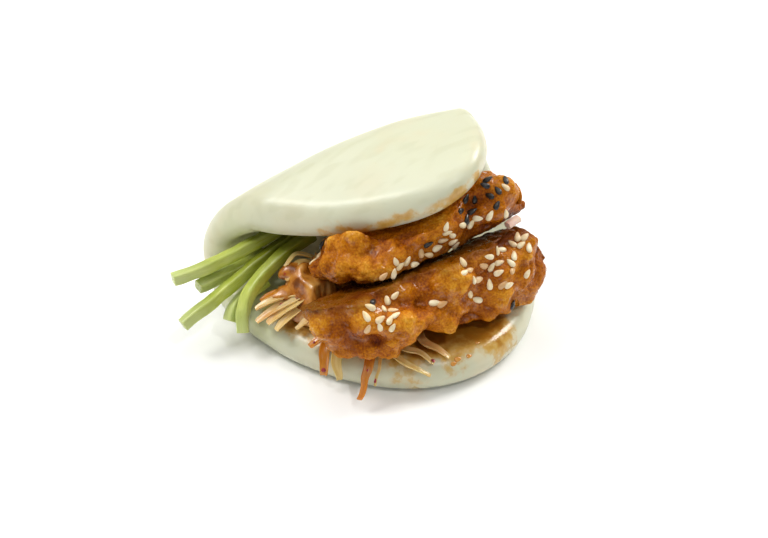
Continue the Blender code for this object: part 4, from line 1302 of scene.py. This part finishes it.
SOFT = {"Subsurface Weight": 0.25, "Subsurface Radius": (1.0, 0.85, 0.6), "Subsurface Scale": 0.003}
FLESH = {"Subsurface Weight": 0.3, "Subsurface Radius": (1.0, 0.9, 0.45), "Subsurface Scale": 0.0016}
WET = {"Coat Weight": 0.5, "Coat Roughness": 0.12}
MATERIALS = {             # what gives each one its nodes, and the constants of its shader
    "steamed_dough": (dough_nodes, SOFT),
    "fried_batter": (batter_nodes, {"Coat Roughness": 0.07, "Specular IOR Level": 0.14}),
    "white_sesame": (white_sesame_nodes, {"Coat Weight": 0.25, "Coat Roughness": 0.2}),
    "black_sesame": (BLACK_HULL, {"Coat Weight": 0.4, "Coat Roughness": 0.15}),
    "cucumber_flesh": (cucumber_nodes, FLESH),
    "dressing": (dressing_nodes, WET),
    "cabbage": (CREAM_SHRED, {**FLESH, **WET}),
    "carrot": (ORANGE_SHRED, {**FLESH, **WET}),
    "radish_skin": (MAROON_SKIN, WET),
    "radish_flesh": (radish_nodes, FLESH),
    "sauce": (CLEAR_SAUCE, WET),
}


def make_materials():
    """Make every material, by name."""
    return {name: new_material(name, *recipe) for name, recipe in MATERIALS.items()}


# ---- the pieces ----


def thinned(grids, rows_apart=1, columns_apart=1):
    """Return every so many points of some grids as one list, to measure distances to."""
    return np.concatenate([grid[::rows_apart, ::columns_apart].reshape(-1, 3) for grid in grids])


def nearest(points, others):
    """Return each point's distance to the nearest of the others, a row of the grid at a time."""
    rows = [np.linalg.norm(row[:, None] - others[None], axis=-1).min(axis=1) for row in points]
    return np.array(rows)


def waved(points, waves, seed):
    """Return a surface with soft waves of a few sizes along its normals."""
    total = np.zeros(points.shape[:-1])
    for step, (size, height) in enumerate(waves):
        total += noise(points, size, seed + step) * height
    level_poles(total)
    return points + grid_normals(points) * total[..., None]


def soaked_share(points, distance):
    """Return how far sauce has soaked in: a bell curve of the distance to the chicken.

    The lower flap takes most of it between two places along X. The upper one takes it in
    patches, only on its underside and lip, where it is partly sauce and partly painted shade
    of the lip band.
    """
    share = np.interp(points[..., 0], STAIN_STOPS, (STAIN_LEAST, 1.0, 1.0, STAIN_LEAST))
    facing_down = np.clip((LIP_TURN - grid_normals(points)[..., 2]) / LIP_TURN, 0.0, 1.0)
    patchy = np.clip(LIP_SHARE + LIP_SHARPNESS * noise(points, LIP_PATCH, LIP_SEED), 0.0, 1.0)
    # On the lip band that faces down this is partly sauce and partly painted shade.
    on_lip = np.minimum(LIP_STAIN * facing_down * patchy * share, LIP_MOST)
    strength = np.where(points[..., 2] > FOLD_TOP / 2.0, on_lip, share)
    reach = STAIN_REACH * (1.0 + STAIN_UNEVENNESS * noise(points, STAIN_WAVE, STAIN_SEED))
    return bell(distance / reach) * strength


def add_bun(material, chicken, sticks, slaw):
    """Add the bun, with what has soaked into it, painted shade on its lip, painted streaks and painted green
    bounce light, and return its surface.
    """
    points = waved(bun_surface(), DOUGH_WAVES, DOUGH_SEED)
    points[..., 2] = np.maximum(points[..., 2], 0.0)
    sauce = soaked_share(points, nearest(points, chicken))
    # The dough is made browner under the slaw and just beyond it.
    dressing = SLAW_BROWNING * bell(nearest(points, slaw) / SLAW_BROWNING_REACH)
    traits = {
        "sauce": np.maximum(sauce, dressing)[None],
        # where green bounce light from the cucumber is painted on
        "green": bell(nearest(points, sticks) / GREEN_BOUNCE_REACH)[None],
        # painted streaks along the fold, for the streaky sheen
        "streak": noise(points * np.array(STREAK_STRETCH), STREAK_WIDTH, STREAK_SEED)[None],
    }
    piece("steamed_bun", points[None], material, "dough", ("bun",), **traits)
    return points


def add_chicken(name, points, relief, crumbs, wetter, material):
    """Add one of the battered pieces, with its sauce: patches of it, and more of it along X, and the painted
    shade where the pieces meet.
    """
    patches = 0.5 + 0.5 * noise(points, SAUCE_PATCH, SAUCE_SEED)
    along = np.clip(points[..., 0] / SAUCE_TURN, 0.0, 1.0)
    traits = {
        "crag": relief[None],
        "crumb": crumbs[None],
        "sauce": (patches * SAUCE_SHARE + (1.0 - SAUCE_SHARE) * along + wetter)[None],
        # where the pieces meet, for the painted shade there
        "parting_shade": bell(above_parting(points)[0] / PARTING_SHADE_REACH)[None],
    }
    piece(f"battered_{name}", points[None], material, "chicken", (name,), **traits)


def add_seeds(name, seeds, material):
    """Add a stack of seeds, each with its tone, and its points with their places along it."""
    draw = np.random.default_rng(TONE_SEED)
    tone = np.clip(draw.uniform(-1.0, 1.0, len(seeds)) * TOASTED_MOST, 0.0, 1.0)
    form = (len(seeds), EGG_ROWS, EGG_COLUMNS)
    tone = np.broadcast_to(tone[:, None, None], form)
    along = np.broadcast_to(np.linspace(0.0, 1.0, EGG_ROWS)[None, :, None], form)
    piece(name, np.array(seeds), material, "chicken", (), tone=tone, along=along)


CHICKEN = (               # a name, what shapes it, its relief's seed, its sesame and how much wetter it is
    ("chicken_lower", lower_chicken, LOWER_RELIEF_SEED, LOWER_PATCHES, LOWER_SESAME_SEED, 0.0),
    ("chicken_upper", upper_chicken, UPPER_RELIEF_SEED, UPPER_PATCHES, UPPER_SESAME_SEED, UPPER_SAUCE),
)


def add_all_chicken(materials):
    """Add both pieces of chicken, and the seeds of both, white and black apart."""
    seeds = {"white_sesame": [], "black_sesame": []}
    for name, shape, relief_seed, patches, sesame_seed, wetter in CHICKEN:
        smooth, relief = shape(FINER)
        places = sesame_places(smooth, patches, sesame_seed)
        seats = [smooth[row, column] for row, column, _, _ in places]
        fine, crumbs = crumbled(smooth, relief_seed, seats)
        add_chicken(name, fine, relief, crumbs, wetter, materials["fried_batter"])
        for kind, more in zip(seeds, sesame(smooth, fine, places, sesame_seed)):
            seeds[kind] += more
    for kind, eggs in seeds.items():
        add_seeds(f"{kind}_seeds", eggs, materials[kind])


def add_rods(name, rods, tints, material, slot, replaced):
    """Add rods as one piece, each with its tint."""
    grids = np.array([points for points, _ in rods])
    fibre = np.array([fibre for _, fibre in rods])
    tint = np.broadcast_to(np.array(tints, dtype=float)[:, None, None], grids.shape[:3])
    piece(name, grids, material, slot, replaced, fibre=fibre, tint=tint, along=fibre[..., 0])


def slaw_shreds(heap, neighbours):
    """Return the shreds of each kind with their tints: first those that stick out of the heap."""
    draw = np.random.default_rng(LAID_SEED)
    shreds = {CABBAGE: [], CARROT: []}
    for number, (kind, width, thickness, *path) in enumerate(SHREDS):
        shreds[kind].append((shred(path, width, thickness, number), draw.uniform(*TINTS)))
    for number, path in enumerate(laid_paths(heap, neighbours), start=len(SHREDS)):
        kind = CARROT if draw.uniform() < CARROT_SHARE else CABBAGE
        laid = shred(path, draw.uniform(*LAID_WIDTH), LAID_THICKNESS, number)
        shreds[kind].append((laid, draw.uniform()))
    return shreds


def bit_on_shred(number, share, size):
    """Return a bit that lies on a shred at a share of its length."""
    _, _, thickness, *path = SHREDS[number]
    here, ahead = through(path, np.array((share, share + BIT_STEP)))
    along = unit(ahead - here)
    wide = unit(np.cross(Z_AXIS, along))
    return egg(here + (thickness / 2.0 + BIT_LIFT) * Z_AXIS, along, wide, size)


def add_slaw(materials, heap, covers):
    """Add the slaw: a dressed core, and the shreds, lumps and bits that lie over it."""
    core = waved(heap, HEAP_WAVES, SLAW_SEED)
    piece("slaw_core", core[None], materials["dressing"], "slaw", ("slaw",))
    lumps = [egg(np.array(middle), X_AXIS, Y_AXIS, size) for middle, size in LUMPS]
    lumps = np.array([waved(lump, LUMP_WAVES, SLAW_SEED) for lump in lumps])
    piece("slaw_lumps", lumps, materials["dressing"], "slaw")
    for kind, shreds in slaw_shreds(tree_of(heap), [tree_of(grid) for grid in covers]).items():
        rods, tints = zip(*shreds)
        add_rods(f"slaw_{kind}", rods, tints, materials[kind], "slaw", ())
    bits = np.array([bit_on_shred(*bit) for bit in BITS])
    piece("slaw_radish_bits", bits, materials["radish_skin"], "slaw")


def add_radish(material):
    """Add the pale piece of radish between the two pieces of chicken."""
    chip, fibre = rod(RADISH, *RADISH_SIZE, RADISH_ROLL, RADISH_SEED, **RADISH_FORM)
    piece("radish_sliver", chip[None], material, "radish", ("radish_chip",), along=fibre[None, ..., 0])


def add_drips(bun, material):
    """Add drips of sauce that lie flat on the lower flap. Their places have to be on the flap."""
    tree = tree_of(bun)
    drips = []
    for x, y, size in DRIPS:
        place, upwards = under(tree, x, y, BETWEEN_FLAPS)
        along = unit(np.cross(Y_AXIS, upwards))
        drips.append(egg(np.array(place), along, np.cross(upwards, along), size * DRIP_FORM))
    piece("sauce_drips", np.array(drips), material, "slaw")


def dress_the_bun():
    """Add every visible piece."""
    materials = make_materials()
    chicken = [lower_chicken(1)[0], upper_chicken(1)[0]]
    sticks = [
        rod(path, STICK_WIDTH, STICK_WIDTH, roll, number, **STICK_FORM)
        for number, (roll, *path) in enumerate(STICKS)
    ]
    stick_grids = [points for points, _ in sticks]
    covers = chicken + stick_grids
    heap = slaw_heap(covers)
    bun = add_bun(
        materials["steamed_dough"], thinned(chicken),
        thinned(stick_grids, *STICK_THINNING), thinned([heap], *HEAP_THINNING),
    )
    add_all_chicken(materials)
    for number, stick in enumerate(sticks, start=1):
        name = f"cucumber_stick_{number}"
        add_rods(f"cut_{name}", [stick], [0.0], materials["cucumber_flesh"], "cucumber", (name,))
    add_slaw(materials, heap, covers)
    add_radish(materials["radish_flesh"])
    add_drips(bun, materials["sauce"])


# ---- floor, lights and camera ----


def add_floor():
    """Add a plain pale floor."""
    half = FLOOR_SIZE / 2.0
    corners = [(-half, -half, 0.0), (half, -half, 0.0), (half, half, 0.0), (-half, half, 0.0)]
    mesh = bpy.data.meshes.new("floor")
    mesh.from_pydata(corners, [], [(0, 1, 2, 3)])
    mesh.materials.append(new_material("floor", lambda tree: {}, FLOOR_LOOK))
    floor = bpy.data.objects.new("floor", mesh)
    bpy.context.scene.collection.objects.link(floor)


def aimed(item, position, target):
    """Put a light or the camera at a position and point it at a target."""
    item.location = position
    item.rotation_euler = (Vector(target) - Vector(position)).to_track_quat("-Z", "Y").to_euler()
    bpy.context.scene.collection.objects.link(item)
    return item


def add_lights():
    """Add soft studio light: an even surround, and large panels over the object."""
    world = bpy.data.worlds.new("surround")
    world.use_nodes = True
    backdrop = world.node_tree.nodes["Background"]
    backdrop.inputs["Color"].default_value = SURROUND_COLOUR
    backdrop.inputs["Strength"].default_value = SURROUND_STRENGTH
    bpy.context.scene.world = world
    for name, position, size, power, tint in PANELS:
        panel = bpy.data.lights.new(name, "AREA")
        panel.size = size
        panel.energy = power
        panel.color = tint
        aimed(bpy.data.objects.new(name, panel), position, LOOK_POINT)


def add_camera():
    """Add the camera at the photograph's viewing angle."""
    lens = bpy.data.cameras.new("camera")
    lens.lens = LENS
    lens.sensor_width = SENSOR_WIDTH
    lens.clip_start = NEAREST_SEEN
    bpy.context.scene.camera = aimed(bpy.data.objects.new("camera", lens), CAMERA_POSITION, LOOK_POINT)


dress_the_bun()
add_floor()
add_lights()
add_camera()
bpy.context.scene.view_settings.view_transform = "Standard"
